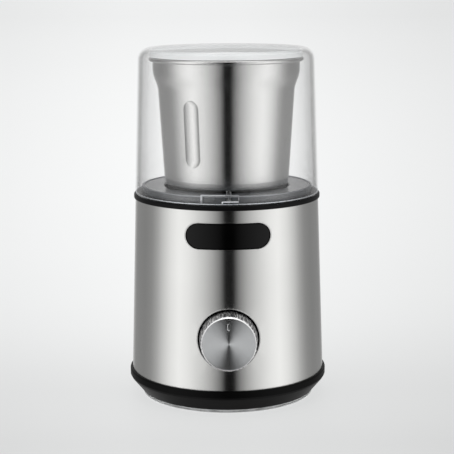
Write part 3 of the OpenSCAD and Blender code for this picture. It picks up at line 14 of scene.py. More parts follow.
import bmesh
import bpy
from mathutils import Euler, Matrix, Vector


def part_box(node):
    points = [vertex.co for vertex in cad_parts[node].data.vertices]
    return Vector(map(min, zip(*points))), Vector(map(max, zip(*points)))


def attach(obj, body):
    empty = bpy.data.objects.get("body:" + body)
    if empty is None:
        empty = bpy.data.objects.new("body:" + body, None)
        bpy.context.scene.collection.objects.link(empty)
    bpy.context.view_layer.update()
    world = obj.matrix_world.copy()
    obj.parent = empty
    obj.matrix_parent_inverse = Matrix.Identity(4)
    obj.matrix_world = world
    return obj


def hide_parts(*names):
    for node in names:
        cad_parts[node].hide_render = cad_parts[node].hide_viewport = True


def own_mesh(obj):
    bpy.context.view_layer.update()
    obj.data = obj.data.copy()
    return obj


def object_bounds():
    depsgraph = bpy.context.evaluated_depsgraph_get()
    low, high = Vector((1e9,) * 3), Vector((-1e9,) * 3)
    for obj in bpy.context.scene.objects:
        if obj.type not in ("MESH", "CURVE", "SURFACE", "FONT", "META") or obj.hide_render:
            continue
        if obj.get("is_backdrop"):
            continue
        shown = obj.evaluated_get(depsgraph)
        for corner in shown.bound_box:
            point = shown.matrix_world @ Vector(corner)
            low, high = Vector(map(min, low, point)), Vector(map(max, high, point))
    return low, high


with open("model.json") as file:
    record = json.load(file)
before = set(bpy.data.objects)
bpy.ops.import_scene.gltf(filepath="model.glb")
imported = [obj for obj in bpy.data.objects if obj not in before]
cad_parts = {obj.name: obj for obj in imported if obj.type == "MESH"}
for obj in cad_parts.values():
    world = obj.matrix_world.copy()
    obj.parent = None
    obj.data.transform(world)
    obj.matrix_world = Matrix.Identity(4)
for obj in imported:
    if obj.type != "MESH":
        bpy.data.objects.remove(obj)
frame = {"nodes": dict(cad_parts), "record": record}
nodes = frame["nodes"]
cad_low, cad_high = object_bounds()
size_mm = [round(1000 * x, 1) for x in cad_high - cad_low]
print("model size, mm:", size_mm, "in", len(nodes), "nodes")

# %% [markdown]
# ## Where the camera stands
#
# A product picture is taken with a long lens from a little above, so that upright walls stay nearly
# parallel and the rims show as shallow ellipses. We set the stand's distance, its height and how far
# it looks down. A hair of roll makes the picture feel as if a person had held the camera level.

# %% Camera
MM = 0.001
LENS_MM = 108.6
SENSOR_MM = 36
NEAREST_SEEN = 10 * MM
STAND_DISTANCE = 728 * MM
STAND_HEIGHT = 223.4 * MM
STAND_LEFT = 8 * MM
LOOK_DOWN = math.radians(10.39)
ROLL = math.radians(-0.29)

camera_data = bpy.data.cameras.new("camera")
camera_data.lens = LENS_MM
camera_data.sensor_width = SENSOR_MM
camera_data.clip_start = NEAREST_SEEN
camera = bpy.data.objects.new("camera", camera_data)
bpy.context.scene.collection.objects.link(camera)
camera.location = (-STAND_LEFT, -STAND_DISTANCE, STAND_HEIGHT)
tilt = Euler((math.pi / 2 - LOOK_DOWN, 0, 0)).to_matrix()
turn = Euler((0, 0, ROLL)).to_matrix()
swing = Euler((0, 0, -math.atan2(STAND_LEFT, STAND_DISTANCE))).to_matrix()
camera.rotation_euler = (swing @ tilt @ turn).to_euler()
bpy.context.scene.camera = camera
print("camera stands at", tuple(round(x, 3) for x in camera.location))

# %% [markdown]
# ## A workbench for finishes
#
# Every finish starts from the same shader and adds a few nodes. Short helpers keep the recipes
# readable: one starts a finish, one makes fine noise that can be stretched along an axis, and one
# turns noise into a range of numbers. The noise reads the piece's own coordinates in metres, so a
# stretch of 3000 means about three lines in a millimetre. The last helper puts these together, since
# the gloss of nearly every real surface wanders a little, from tool marks or from handling.

# %% A finish and its marks
def new_finish(name, colour, roughness, metallic=0.0):
    """A material and its shader, with the three values that every finish has."""
    material = bpy.data.materials.new(name)
    material.use_nodes = True
    shader = material.node_tree.nodes["Principled BSDF"]
    shader.inputs["Base Color"].default_value = (*colour, 1)
    shader.inputs["Roughness"].default_value = roughness
    shader.inputs["Metallic"].default_value = metallic
    return material, shader


def own_place(material):
    """The socket that gives a point's own place on the piece, in metres."""
    return material.node_tree.nodes.new("ShaderNodeTexCoord").outputs["Object"]


def noise(material, stretch, detail=2.0):
    """Noise whose grain is 1 / stretch metres along X, Y and Z."""
    tree = material.node_tree
    scaled = tree.nodes.new("ShaderNodeVectorMath")
    scaled.operation = "MULTIPLY"
    scaled.inputs[1].default_value = stretch
    texture = tree.nodes.new("ShaderNodeTexNoise")
    texture.inputs["Scale"].default_value = 1.0
    texture.inputs["Detail"].default_value = detail
    tree.links.new(own_place(material), scaled.inputs[0])
    tree.links.new(scaled.outputs["Vector"], texture.inputs["Vector"])
    return texture.outputs["Fac"]


def numbers(material, source, low, high, start=0.3, end=0.7):
    """Turns a value between start and end into a range of numbers. Noise lives mostly in 0.3 to 0.7."""
    ranged = material.node_tree.nodes.new("ShaderNodeMapRange")
    ranged.inputs["From Min"].default_value = start
    ranged.inputs["From Max"].default_value = end
    ranged.inputs["To Min"].default_value = low
    ranged.inputs["To Max"].default_value = high
    material.node_tree.links.new(source, ranged.inputs["Value"])
    return ranged.outputs["Result"]


def join(material, source, shader, name):
    """Feeds a socket of the shader."""
    material.node_tree.links.new(source, shader.inputs[name])


def marked_finish(name, colour, roughness, wanders, stretch, metallic=0.0):
    """A finish whose roughness wanders between two numbers."""
    material, shader = new_finish(name, colour, roughness, metallic)
    join(material, numbers(material, noise(material, stretch), *wanders), shader, "Roughness")
    return material, shader


finishes = {}
print("helpers for finishes ready")

# %% [markdown]
# ## Mixing and denting
#
# Two more helpers complete the bench. A mix blends two colours or two numbers by a share from 0 to 1,
# and it takes a plain value as readily as the result of another node. Relief turns noise into a very
# shallow height, so that fine marks catch the light without costing any geometry.

# %% Mixes and relief
def mix(tree, share, first, second, kind="RGBA"):
    """Mixes two colours (RGBA) or two numbers (FLOAT), each given as a value or as a socket."""
    socket_type = "RGBA" if kind == "RGBA" else "VALUE"
    mixed = tree.nodes.new("ShaderNodeMix")
    mixed.data_type = kind
    sockets = [s for s in mixed.inputs if s.type == socket_type and s.name in ("A", "B")]
    tree.links.new(share, mixed.inputs["Factor"])
    for socket, source in zip(sockets, (first, second)):
        if isinstance(source, bpy.types.NodeSocket):
            tree.links.new(source, socket)
        else:
            socket.default_value = source
    return next(s for s in mixed.outputs if s.type == socket_type)


def colours(material, share, first, second):
    """Mixes two plain colours."""
    return mix(material.node_tree, share, (*first, 1), (*second, 1))


def relief(material, source, depth, strength=1.0, start=None):
    """Turns a noise into relief that is depth metres high. start is a normal to begin with."""
    bump = material.node_tree.nodes.new("ShaderNodeBump")
    bump.inputs["Strength"].default_value = strength
    bump.inputs["Distance"].default_value = depth
    material.node_tree.links.new(source, bump.inputs["Height"])
    if start is not None:
        material.node_tree.links.new(start, bump.inputs["Normal"])
    return bump.outputs["Normal"]


print("mixes and relief ready")

# %% [markdown]
# ## Sums done by nodes
#
# Where a finish depends on a place or a direction, the shader has to do sums, and Blender gives one
# node for each step of a sum. Written as calls, one inside the other, a formula stays readable where
# the drawn graph would be a tangle.

# %% Helpers for sums
def maths(tree, operation, *sources):
    """A maths node fed by sockets or numbers."""
    step = tree.nodes.new("ShaderNodeMath")
    step.operation = operation
    for i, source in enumerate(sources):
        if isinstance(source, (int, float)):
            step.inputs[i].default_value = source
        else:
            tree.links.new(source, step.inputs[i])
    return step.outputs[0]


def vectors(tree, operation, *sources):
    """A vector maths node fed by sockets, vectors or, for a scale, a socket in the last place."""
    step = tree.nodes.new("ShaderNodeVectorMath")
    step.operation = operation
    for i, source in enumerate(sources):
        socket = step.inputs["Scale"] if operation == "SCALE" and i == 1 else step.inputs[i]
        if isinstance(source, tuple):
            socket.default_value = source
        else:
            tree.links.new(source, socket)
    return step.outputs["Value"] if operation == "DOT_PRODUCT" else step.outputs["Vector"]


def own_axes(material):
    """A point's own X, Y and Z on the piece, as sockets with those names."""
    split = material.node_tree.nodes.new("ShaderNodeSeparateXYZ")
    material.node_tree.links.new(own_place(material), split.inputs[0])
    return split.outputs


print("helpers for sums ready")

# %% [markdown]
# ## Sheet steel with hairlines
#
# The body's skin is rolled from sheet that has been drawn under an abrasive belt. The belt leaves
# hairlines that run round the body, so the metal mirrors its surroundings crisply from side to side
# and smears them up and down. That is why a brushed can shows tall upright bands. The shader has a
# setting for it, anisotropy, and a Tangent node that runs round an axis tells it which way the lines
# go. A quarter turn sets the smear across the lines.

# %% Marks round an axis
QUARTER_TURN = 0.25


def grain_round(material, shader, axis, amount):
    """Lets a metal's highlight spread across tool marks that run round an axis."""
    tangent = material.node_tree.nodes.new("ShaderNodeTangent")
    tangent.direction_type = "RADIAL"
    tangent.axis = axis
    shader.inputs["Anisotropic"].default_value = amount
    shader.inputs["Anisotropic Rotation"].default_value = QUARTER_TURN
    join(material, tangent.outputs["Tangent"], shader, "Tangent")


print("marks can run round an axis")

# %% [markdown]
# ## Soft grooves in the cup
#
# The upright grooves in the cup are pressed into the drawn sheet, which bends gently into them. A
# mirror doubles every change of slope, so they would look harder than they feel to a thumb. Between
# two heights we therefore turn the surface's normal a part of the way back to where a plain round wall
# would have it. The inside of the wall faces the axis, and the sign of a dot product tells us to turn
# it the other way there.

# %% Softened normal
def softened(material, low, high, fade, share):
    """The surface's normal, turned part of the way to straight out from the upright axis.
    Between the heights low and high it softens the look of what is pressed into a round wall."""
    tree = material.node_tree
    from_axis = vectors(tree, "MULTIPLY", own_place(material), (1.0, 1.0, 0.0))
    turned_out = tree.nodes.new("ShaderNodeVectorTransform")
    turned_out.vector_type = "NORMAL"
    turned_out.convert_from, turned_out.convert_to = "OBJECT", "WORLD"
    tree.links.new(vectors(tree, "NORMALIZE", from_axis), turned_out.inputs[0])
    true_normal = tree.nodes.new("ShaderNodeNewGeometry").outputs["Normal"]
    side = maths(tree, "SIGN", vectors(tree, "DOT_PRODUCT", true_normal, turned_out.outputs[0]))
    same_side = vectors(tree, "SCALE", turned_out.outputs[0], side)
    level = own_axes(material)["Z"]
    rise = numbers(material, level, 0, share, low - fade, low)
    fall = numbers(material, level, 1, 0, high, high + fade)
    amount = maths(tree, "MULTIPLY", rise, fall)
    turned_part = vectors(tree, "SCALE", vectors(tree, "SUBTRACT", same_side, true_normal), amount)
    return vectors(tree, "NORMALIZE", vectors(tree, "ADD", true_normal, turned_part))


GROOVE_LOW, GROOVE_HIGH = 125 * MM, 166 * MM
GROOVE_FADE = 3 * MM
GROOVE_SOFTNESS = 0.32
print("grooves softened from", round(1000 * GROOVE_LOW), "to", round(1000 * GROOVE_HIGH), "mm")

# %% [markdown]
# ## The two brushed steels
#
# The hairlines themselves are noise, drawn out into long thin lines, that varies the gloss a little
# and leaves a relief of less than a micron. Wide soft clouds vary the tone, because no belt presses
# evenly. The skin and the cup share the recipe. The cup is drawn from a disc and finished finer, so
# its lines are closer and fainter.

# %% Brushed steels
SKIN_LINES, CUP_LINES = 3600, 5200
SKIN_RELIEF, CUP_RELIEF = 4e-7, 2e-7
ALONG_HAIRS = 60
CLOUDS = (25, 25, 25)
CLOUD_SHADE = 0.96
HAIR_GLOSSIER, HAIR_DULLER = 0.02, 0.03
HAIR_SMEAR = 0.92


def brushed(name, colour, roughness, lines, depth, soften=None):
    """Sheet steel with hairlines that run round the upright axis."""
    material, shader = new_finish(name, colour, roughness, metallic=1.0)
    hairs = noise(material, (ALONG_HAIRS, ALONG_HAIRS, lines))
    gloss = numbers(material, hairs, roughness - HAIR_GLOSSIER, roughness + HAIR_DULLER)
    join(material, gloss, shader, "Roughness")
    clouds = numbers(material, noise(material, CLOUDS), 0, 1)
    shade = [c * CLOUD_SHADE for c in colour]
    join(material, colours(material, clouds, shade, colour), shader, "Base Color")
    start = softened(material, *soften) if soften else None
    join(material, relief(material, hairs, depth, start=start), shader, "Normal")
    grain_round(material, shader, "Z", HAIR_SMEAR)
    return material


finishes["brushed_steel_skin"] = brushed("hairline_steel", (0.73, 0.73, 0.715), 0.2,
                                         SKIN_LINES, SKIN_RELIEF)
finishes["cup_steel"] = brushed("satin_cup_steel", (0.74, 0.74, 0.73), 0.22, CUP_LINES, CUP_RELIEF,
                                (GROOVE_LOW, GROOVE_HIGH, GROOVE_FADE, GROOVE_SOFTNESS))
print("hairlines", round(1000 / SKIN_LINES, 2), "and", round(1000 / CUP_LINES, 2), "mm apart")

# %% [markdown]
# ## The knob's spun face
#
# The knob is turned from aluminium bar. A diamond tool faces it off while it spins, which leaves fine
# circles round its middle. Each circle mirrors across itself, so light from the left and the right
# gathers in two bright fans, and the dark behind the viewer stays in two dark ones. The fans stand
# still while the knob turns under them. It is the same trick as on the skin, with the marks round the
# knob's own axis, which is Y, and the widest spread that the shader has.

# %% Spun face
SPUN_MARKS = (500, 500, 500)
SPUN_ROUGHNESS = (0.3, 0.33)
SPUN_SMEAR = 1.0
spun, spun_shader = marked_finish("spun_face", (0.93, 0.95, 0.96), 0.4, SPUN_ROUGHNESS, SPUN_MARKS, 1.0)
grain_round(spun, spun_shader, "Y", SPUN_SMEAR)
finishes["spun_aluminium"] = spun
print("spun face with a roughness of", SPUN_ROUGHNESS)

# %% [markdown]
# ## The knob's bevel and knurl
#
# Round the face runs a bevel that is nearly a mirror. Behind it the side is knurled with fine teeth
# that run along the knob's axis and shade each other, so it looks much darker than the metal it is cut
# from. The model has the coarse ridges, and noise drawn out along the axis, which is Y, adds dark and
# bright streaks for the teeth: the dark ones are painted shade between them. Bevel and side are one
# piece, so one finish has to hold both looks. The bevel ends at a known depth behind the knob's front:
# we take each point's own Y, and let a narrow step there change the tone and the gloss.

# %% Knob body
knob_low, knob_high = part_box("knob_body")
BEVEL_DEPTH = 0.5 * MM
BEVEL_BLEND = 0.1 * MM
BEVEL_TONE = (0.9, 0.9, 0.9)
BEVEL_ROUGHNESS, SIDE_ROUGHNESS = 0.2, 0.42
TEETH = (1700, 110, 1700)
TEETH_START, TEETH_END = 0.45, 0.62
# TOOTH_SHADE is painted shade between the teeth.
TOOTH_SHADE, TOOTH_TIP = (0.1, 0.098, 0.104), (0.8, 0.8, 0.8)
TOOL_MARKS = (1200, 3000, 1200)
TOOL_MARK_DEPTH = 1e-6

turned, turned_shader = new_finish("turned_knob", BEVEL_TONE, BEVEL_ROUGHNESS, metallic=1.0)
bevel_end = knob_low.y + BEVEL_DEPTH
on_side = numbers(turned, own_axes(turned)["Y"], 0, 1, bevel_end, bevel_end + BEVEL_BLEND)
teeth = numbers(turned, noise(turned, TEETH, detail=3.0), 0, 1, TEETH_START, TEETH_END)
side_tone = colours(turned, teeth, TOOTH_SHADE, TOOTH_TIP)
join(turned, mix(turned.node_tree, on_side, (*BEVEL_TONE, 1), side_tone), turned_shader, "Base Color")
join(turned, numbers(turned, on_side, BEVEL_ROUGHNESS, SIDE_ROUGHNESS, 0, 1), turned_shader, "Roughness")
join(turned, relief(turned, noise(turned, TOOL_MARKS), TOOL_MARK_DEPTH), turned_shader, "Normal")
finishes["knob_aluminium"] = turned
print("bevel is", round(1000 * BEVEL_DEPTH, 2), "mm deep")

# %% [markdown]
# ## Black and grey mouldings
#
# The base ring, the deck and the seam ring are moulded. A mould is spark-eroded, and its fine pits
# come out as a satin texture of a tenth of a millimetre or so. The button's mould is polished, so it
# is the glossiest of them. One recipe serves them all: a colour, a gloss, how much light the surface
# throws back straight on, and a grain. Deep black takes a very low colour value, because even a few
# hundredths of the studio's light make a black look grey.

# %% Mouldings
GRAIN_DETAIL = 3.0
GRAIN_STRENGTH = 0.5
PIT_LIGHTER = 1.25
PATCHES = (40, 40, 40)
PATCH_GLOSSIER, PATCH_DULLER = 0.03, 0.04


def moulded(name, colour, roughness, throws_back, grain, depth):
    """A moulding. grain is the number of pits in a metre, depth their depth in metres."""
    material, shader = new_finish(name, colour, roughness)
    shader.inputs["Specular IOR Level"].default_value = throws_back
    pits = noise(material, (grain, grain, grain), GRAIN_DETAIL)
    patches = noise(material, PATCHES)
    gloss = numbers(material, patches, roughness - PATCH_GLOSSIER, roughness + PATCH_DULLER)
    join(material, gloss, shader, "Roughness")
    light = [c * PIT_LIGHTER for c in colour]
    join(material, colours(material, numbers(material, pits, 0, 1), colour, light), shader, "Base Color")
    join(material, relief(material, pits, depth, GRAIN_STRENGTH), shader, "Normal")
    return material


MOULDINGS = {
    "black_plastic": ("satin_black", (0.0016, 0.0016, 0.0016), 0.36, 0.07, 6000, 3e-6),
    "seam_plastic": ("seam_black", (0.002, 0.002, 0.0023), 0.36, 0.12, 7000, 1e-6),
    "deck_plastic": ("deck_grey", (0.08, 0.087, 0.095), 0.22, 1.0, 6000, 1e-6),
    "button_gloss": ("gloss_black", (0.0008, 0.0008, 0.0008), 0.16, 0.2, 4000, 2e-7),
    "switch_plastic": ("switch_black", (0.03, 0.03, 0.034), 0.5, 0.5, 5000, 4e-6),
    "board_part_plastic": ("board_part_yellow", (0.55, 0.42, 0.1), 0.4, 0.5, 3000, 4e-6),
    "board_laminate": ("board_green", (0.02, 0.14, 0.06), 0.3, 0.5, 4000, 4e-6),
    "carbon": ("pressed_carbon", (0.03, 0.03, 0.03), 0.7, 0.3, 9000, 8e-6),
    "black_rubber": ("black_rubber", (0.014, 0.014, 0.014), 0.75, 0.3, 5000, 8e-6),
}
for slot_name, recipe in MOULDINGS.items():
    finishes[slot_name] = moulded(*recipe)
print(len(MOULDINGS), "mouldings")

# %% [markdown]
# ## The deck's shaded foot
#
# The deck meets the black seam ring in a narrow corner. Shade gathers there, so the last bit of the
# grey wall looks dark and dull. We take the finish that the deck already has and mix it with a darker,
# duller one below a height, over a short fade: the darker colour is painted shade. The wall above
# stays as it was.

# %% Shade over the seam
def shaded_below(material, height, fade, dark, rough):
    """Makes a moulding dark and dull below a height with painted shade, as where shade lies in a corner."""
    tree = material.node_tree
    shader = tree.nodes["Principled BSDF"]
    clear_of_it = numbers(material, own_axes(material)["Z"], 0, 1, height, height + fade)
    for name, low, kind in (("Base Color", (dark, dark, dark, 1), "RGBA"), ("Roughness", rough, "FLOAT")):
        before = shader.inputs[name].links[0].from_socket
        join(material, mix(tree, clear_of_it, low, before, kind), shader, name)


# SHADE_TONE is the colour of the painted shade in the corner.
SHADE_FADE = 0.6 * MM
SHADE_TONE = 0.008
SHADE_ROUGHNESS = 0.6
deck_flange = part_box("seam_ring")[1].z
shade_top = deck_flange + 0.3 * MM
shaded_below(finishes["deck_plastic"], shade_top, SHADE_FADE, SHADE_TONE, SHADE_ROUGHNESS)
print("deck meets the seam ring at", round(1000 * deck_flange, 1), "mm")

# %% [markdown]
# ## Plain metals
#
# Screws, shafts, the blade and the motor's iron are metals without a drawn direction. The blade is
# polished and mostly mirrors the shaded inside of the cup, and its tone, darker than the other bright
# steel, is painted shade for that. Sheet iron in the motor is dull, and the castings are rough. Copper
# wire shows its turns as fine ridges, so its noise is stretched along the wire.

# %% Metals
MARK_GLOSSIER, MARK_DULLER = 0.8, 1.25
MARK_SHADE = 0.88


def metal(name, colour, roughness, stretch, depth):
    """A bare metal whose marks vary its gloss, its tone and its height together."""
    material, shader = new_finish(name, colour, roughness, metallic=1.0)
    marks = noise(material, stretch)
    gloss = numbers(material, marks, roughness * MARK_GLOSSIER, roughness * MARK_DULLER)
    join(material, gloss, shader, "Roughness")
    shade = [c * MARK_SHADE for c in colour]
    join(material, colours(material, numbers(material, marks, 0, 1), shade, colour), shader, "Base Color")
    join(material, relief(material, marks, depth), shader, "Normal")
    return material


METALS = {
    # The blade's darker tone is painted shade.
    "blade_steel": ("polished_blade", (0.42, 0.42, 0.415), 0.26, (700, 60, 700), 1e-6),
    "plain_steel": ("plain_steel", (0.6, 0.6, 0.6), 0.24, (900, 900, 900), 1e-6),
    "lamination_steel": ("stacked_sheets", (0.32, 0.32, 0.33), 0.45, (40, 40, 2000), 2e-5),
    "cast_aluminium": ("cast_aluminium", (0.56, 0.57, 0.58), 0.5, (1500, 1500, 1500), 2e-5),
    "copper": ("enamelled_copper", (0.7, 0.3, 0.13), 0.3, (60, 2500, 2500), 2e-5),
    "brass_parts": ("brass", (0.72, 0.52, 0.22), 0.3, (900, 900, 900), 2e-6),
}
for slot_name, recipe in METALS.items():
    finishes[slot_name] = metal(*recipe)
print(len(METALS), "plain metals")

# %% [markdown]
# ## Pale silicone
#
# The ring that the grinder stands on is moulded from pale, milky silicone. Light goes a little way in
# and comes out again, so it looks soft and bright even in the shade of the base. The shader's
# subsurface setting does that, with the same reach for each colour. Grey streaks run round the ring as
# painted reflections of the grinder's underside. They are noise drawn out along the ring and sharpened,
# so that white and grey meet in thin curved lines.

# %% Foot ring
MILKY_SHARE = 0.15
MILKY_REACH = 1 * MM
SILICONE_IOR = 1.41
STREAKS = (90, 90, 900)
STREAK_START, STREAK_END = 0.52, 0.62
STREAK_WHITE, REFLECTION_GREY = (0.92, 0.93, 0.93), (0.42, 0.43, 0.43)


def let_light_in(shader):
    """Lets light go a little way into a milky piece and come out again."""
    shader.inputs["Subsurface Weight"].default_value = MILKY_SHARE
    shader.inputs["Subsurface Radius"].default_value = (1, 1, 1)
    shader.inputs["Subsurface Scale"].default_value = MILKY_REACH


silicone, silicone_shader = new_finish("pale_silicone", (0.9, 0.91, 0.91), 0.25)
# The grey streaks are painted reflections of the grinder's underside.
reflection_share = numbers(silicone, noise(silicone, STREAKS, detail=4.0), 0, 1, STREAK_START, STREAK_END)
painted_reflections = colours(silicone, reflection_share, STREAK_WHITE, REFLECTION_GREY)
join(silicone, painted_reflections, silicone_shader, "Base Color")
let_light_in(silicone_shader)
silicone_shader.inputs["IOR"].default_value = SILICONE_IOR
finishes["foot_silicone"] = silicone
print("light goes", round(1000 * MILKY_REACH, 1), "mm into the silicone")

# %% [markdown]
# ## The white seal
#
# The gasket in the lid is silicone too, but whiter and cleaner. The clear plastic round it catches
# light from all sides and hands it to the seal, so it looks brighter than anything else under the
# lid. Our lid is a simple mirror that can't carry light inward. A faint glow of the seal's own stands
# for the light that it would get.

# %% Seal
SEAL_MARKS = (300, 300, 300)
SEAL_ROUGHNESS = (0.16, 0.26)
SEAL_GREYER, SEAL_WHITER = (0.93, 0.95, 0.95), (0.98, 0.99, 0.99)
SEAL_GLOW = 0.14
SEAL_GLOW_COLOUR = (0.97, 0.98, 1, 1)
seal_white, seal_shader = marked_finish("white_seal", (0.97, 0.98, 0.98), 0.2, SEAL_ROUGHNESS, SEAL_MARKS)
seal_clouds = numbers(seal_white, noise(seal_white, SEAL_MARKS), 0, 1)
join(seal_white, colours(seal_white, seal_clouds, SEAL_GREYER, SEAL_WHITER), seal_shader, "Base Color")
seal_shader.inputs["Emission Color"].default_value = SEAL_GLOW_COLOUR
seal_shader.inputs["Emission Strength"].default_value = SEAL_GLOW
OWN_FINISH = {"lid_gasket": seal_white}
print("seal glows with a strength of", SEAL_GLOW)

# %% [markdown]
# ## The lid's two skins
#
# The lid is a thin-walled tumbler turned upside down, with a wall that leans in a little towards the
# top and a round shoulder. Its outer skin and its inner skin need to behave differently, but they are
# one piece. A point's own place tells them apart. We straighten the wall by its taper, measure how far
# the point lies from the middle of the shoulder's rounding, and call everything beyond the middle of
# the wall outside.

# %% Outer skin of the lid
lid_low, lid_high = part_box("lid")
LID_WALL = 2 * MM
LID_ROUND = 6.5 * MM
LID_TOP_RADIUS = 46.6 * MM
LID_LEANS_IN, LID_LEANS_OVER = 2.4, 76.8
LID_TAPER = LID_LEANS_IN / LID_LEANS_OVER
HAZE = (60, 60, 60)


def far_side(tree, one, two):
    """The long side over two sides that meet at a right angle."""
    squares = [maths(tree, "POWER", source, 2.0) for source in (one, two)]
    return maths(tree, "SQRT", maths(tree, "ADD", *squares))


clear, clear_shader = marked_finish("clear_plastic", (0.95, 0.97, 0.98), 0.03, (0.02, 0.05), HAZE, 1.0)
tree = clear.node_tree
place = own_axes(clear)
across = far_side(tree, place["X"], place["Y"])
below_top = maths(tree, "SUBTRACT", place["Z"], lid_high.z)
straightened = maths(tree, "ADD", across, maths(tree, "MULTIPLY", below_top, LID_TAPER))
past_wall = maths(tree, "SUBTRACT", straightened, LID_TOP_RADIUS - LID_ROUND)
past_top = maths(tree, "SUBTRACT", place["Z"], lid_high.z - LID_ROUND)
from_round = far_side(tree, *[maths(tree, "MAXIMUM", past, 0.0) for past in (past_wall, past_top)])
outside = maths(tree, "GREATER_THAN", from_round, LID_ROUND - LID_WALL / 2)
print("lid wall is", round(1000 * LID_WALL, 1), "mm thick")

# %% [markdown]
# ## The clear lid
#
# A clear moulding shows itself only by what it mirrors. Square on it throws back a few hundredths of
# the light. Towards its outline, where we look almost in the plane of the wall, it throws back far
# more, and that draws the grey edges. Real refraction through a wall this thin hardly moves what
# stands behind, so we leave it out: the surface is a mirror, and its alpha is the share that it throws
# back. Layer Weight says how squarely we look at a point, and a curve turns that into the share.
#
# A plain mirror would be brightest at its very outline. A real wall has a thickness, and it is
# brightest a little inside, where the light passes both skins. So the curve has a peak there. Only the
# outer skin uses it. The inner one mirrors faintly from all sides, or every edge would show twice. The
# last thin line takes a darker tint, for the long way that light goes through plastic there.

# %% Clear plastic
INSIDE_MIRRORS = 0.04
MIRROR_BY_FACING = [
    (0.0, 0.03), (0.19, 0.03), (0.35, 0.05), (0.44, 0.11), (0.5, 0.165), (0.55, 0.25), (0.6, 0.31),
    (0.66, 0.37), (0.69, 0.5), (0.73, 0.58), (0.775, 0.52), (0.84, 0.36), (0.88, 0.22), (0.925, 0.2),
    (0.94, 0.5), (1.0, 0.5),
]
TINT_BY_FACING = [(0.0, 0.95), (0.925, 0.95), (0.94, 0.55), (1.0, 0.55)]
EVEN_BLEND = 0.5


def curve(tree, source, stops):
    """A value read off a curve that runs straight from stop to stop."""
    ramp = tree.nodes.new("ShaderNodeValToRGB")
    elements = ramp.color_ramp.elements
    elements.remove(elements[-1])
    for stop, _ in stops[1:]:
        elements.new(stop)
    for element, (stop, value) in zip(elements, stops):
        element.position = stop
        element.color = (value, value, value, 1)
    tree.links.new(source, ramp.inputs["Fac"])
    return ramp.outputs["Color"]


edge = tree.nodes.new("ShaderNodeLayerWeight")
edge.inputs["Blend"].default_value = EVEN_BLEND
outer_mirrors = curve(tree, edge.outputs["Facing"], MIRROR_BY_FACING)
join(clear, mix(tree, outside, INSIDE_MIRRORS, outer_mirrors, "FLOAT"), clear_shader, "Alpha")
join(clear, curve(tree, edge.outputs["Facing"], TINT_BY_FACING), clear_shader, "Base Color")
finishes["lid_clear"] = clear
print("clear plastic mirrors", MIRROR_BY_FACING[0][1], "square on")

# %% [markdown]
# ## Give each piece its finish
#
# The parts list says which finish each piece has. We walk down that list and hand the materials out.
# The gasket's slot is shared with the foot ring, so its own whiter finish is looked up first. A slot
# without a finish would stop the script here, so nothing stays bare.

# %% Hand out the finishes
for row in frame["record"]["subparts"]:
    piece = nodes[row["node"]]
    finish_made = OWN_FINISH.get(row["node"], finishes[row["material_slot"]])
    if not piece.material_slots:
        piece.data.materials.append(finish_made)
    for holder in piece.material_slots:
        holder.material = finish_made

# %% [markdown]
# ## How the thin pieces are made
#
# The edges that follow are thin: a bead round an opening, a burr, a rib. All of them are a small
# closed section carried along a path, so two helpers are enough. The first joins any number of rings
# of points with faces. The second makes the rings: it carries an oval along a path and keeps the oval
# flat on the surface, because at each point it is told which way is out.

# %% Helpers for thin pieces
def loft(name, rings, closed=False):
    """A mesh through rings of as many points each. closed joins the last ring to the first."""
    mesh = bmesh.new()
    loops = [[mesh.verts.new(p) for p in ring] for ring in rings]
    pairs = list(zip(loops, loops[1:]))
    if closed:
        pairs.append((loops[-1], loops[0]))
    else:
        mesh.faces.new(loops[0])
        mesh.faces.new(loops[-1])
    for one, two in pairs:
        for i in range(len(one)):
            j = (i + 1) % len(one)
            mesh.faces.new((one[i], one[j], two[j], two[i]))
    bmesh.ops.recalc_face_normals(mesh, faces=mesh.faces)
    for face in mesh.faces:
        face.smooth = True
    data = bpy.data.meshes.new(name)
    mesh.to_mesh(data)
    mesh.free()
    made = bpy.data.objects.new(name, data)
    bpy.context.scene.collection.objects.link(made)
    return made


def bead_along(name, path, outs, half_width, half_height, closed=True, sides=10):
    """An oval bead along a path. outs gives the way out of the surface at each point."""
    last = len(path) - 1
    rings = []
    for i, (point, out) in enumerate(zip(path, outs)):
        ahead = path[(i + 1) % len(path)] if closed or i < last else point
        behind = path[i - 1] if closed or i > 0 else point
        sideways = (ahead - behind).cross(out).normalized()
        ring = []
        for k in range(sides):
            a = math.tau * k / sides
            ring.append(point + sideways * half_width * math.cos(a) + out * half_height * math.sin(a))
        rings.append(ring)
    return loft(name, rings, closed)


def dress(piece, finish, body):
    """Gives a thin piece its finish and the body that it moves with."""
    piece.data.materials.append(finish)
    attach(piece, body)


print("helpers for thin pieces ready")

# %% [markdown]
# ## Round pieces on one axis
#
# The base, the cup and the lid all stand on one upright axis, so most of our edges are rings round
# it. A few more helpers name what they share: a point at a direction, a level circle, the way straight
# out from the axis, a flat bead, and any section carried round like clay on a wheel. How far a piece
# of the model reaches is measured on its own mesh, so an edge always fits the piece it belongs to.

# %% Helpers for round pieces
EDGE_STEPS = 180
SAME_LEVEL = 0.05 * MM
UP = Vector((0, 0, 1))
TO_THE_FRONT = Vector((0, -1, 0))


def around(degrees, radius, height):
    """A point at a direction from the front, anticlockwise from above."""
    a = math.radians(degrees)
    return Vector((radius * math.sin(a), -radius * math.cos(a), height))


def circle(radius, height):
    """Points on a level circle round the upright axis."""
    return [around(360 * i / EDGE_STEPS, radius, height) for i in range(EDGE_STEPS)]


def outward(path):
    """The way straight out from the upright axis at each point of a path."""
    return [Vector((p.x, p.y, 0)).normalized() for p in path]


def full_ring(name, radius, height, half_width, half_height):
    """An oval bead that lies flat round the upright axis."""
    return bead_along(name, circle(radius, height), [UP] * EDGE_STEPS, half_width, half_height)


def thrown(name, section):
    """A closed section of radii and heights, carried round the upright axis."""
    rings = [[around(360 * i / EDGE_STEPS, r, z) for r, z in section] for i in range(EDGE_STEPS)]
    return loft(name, rings, closed=True)


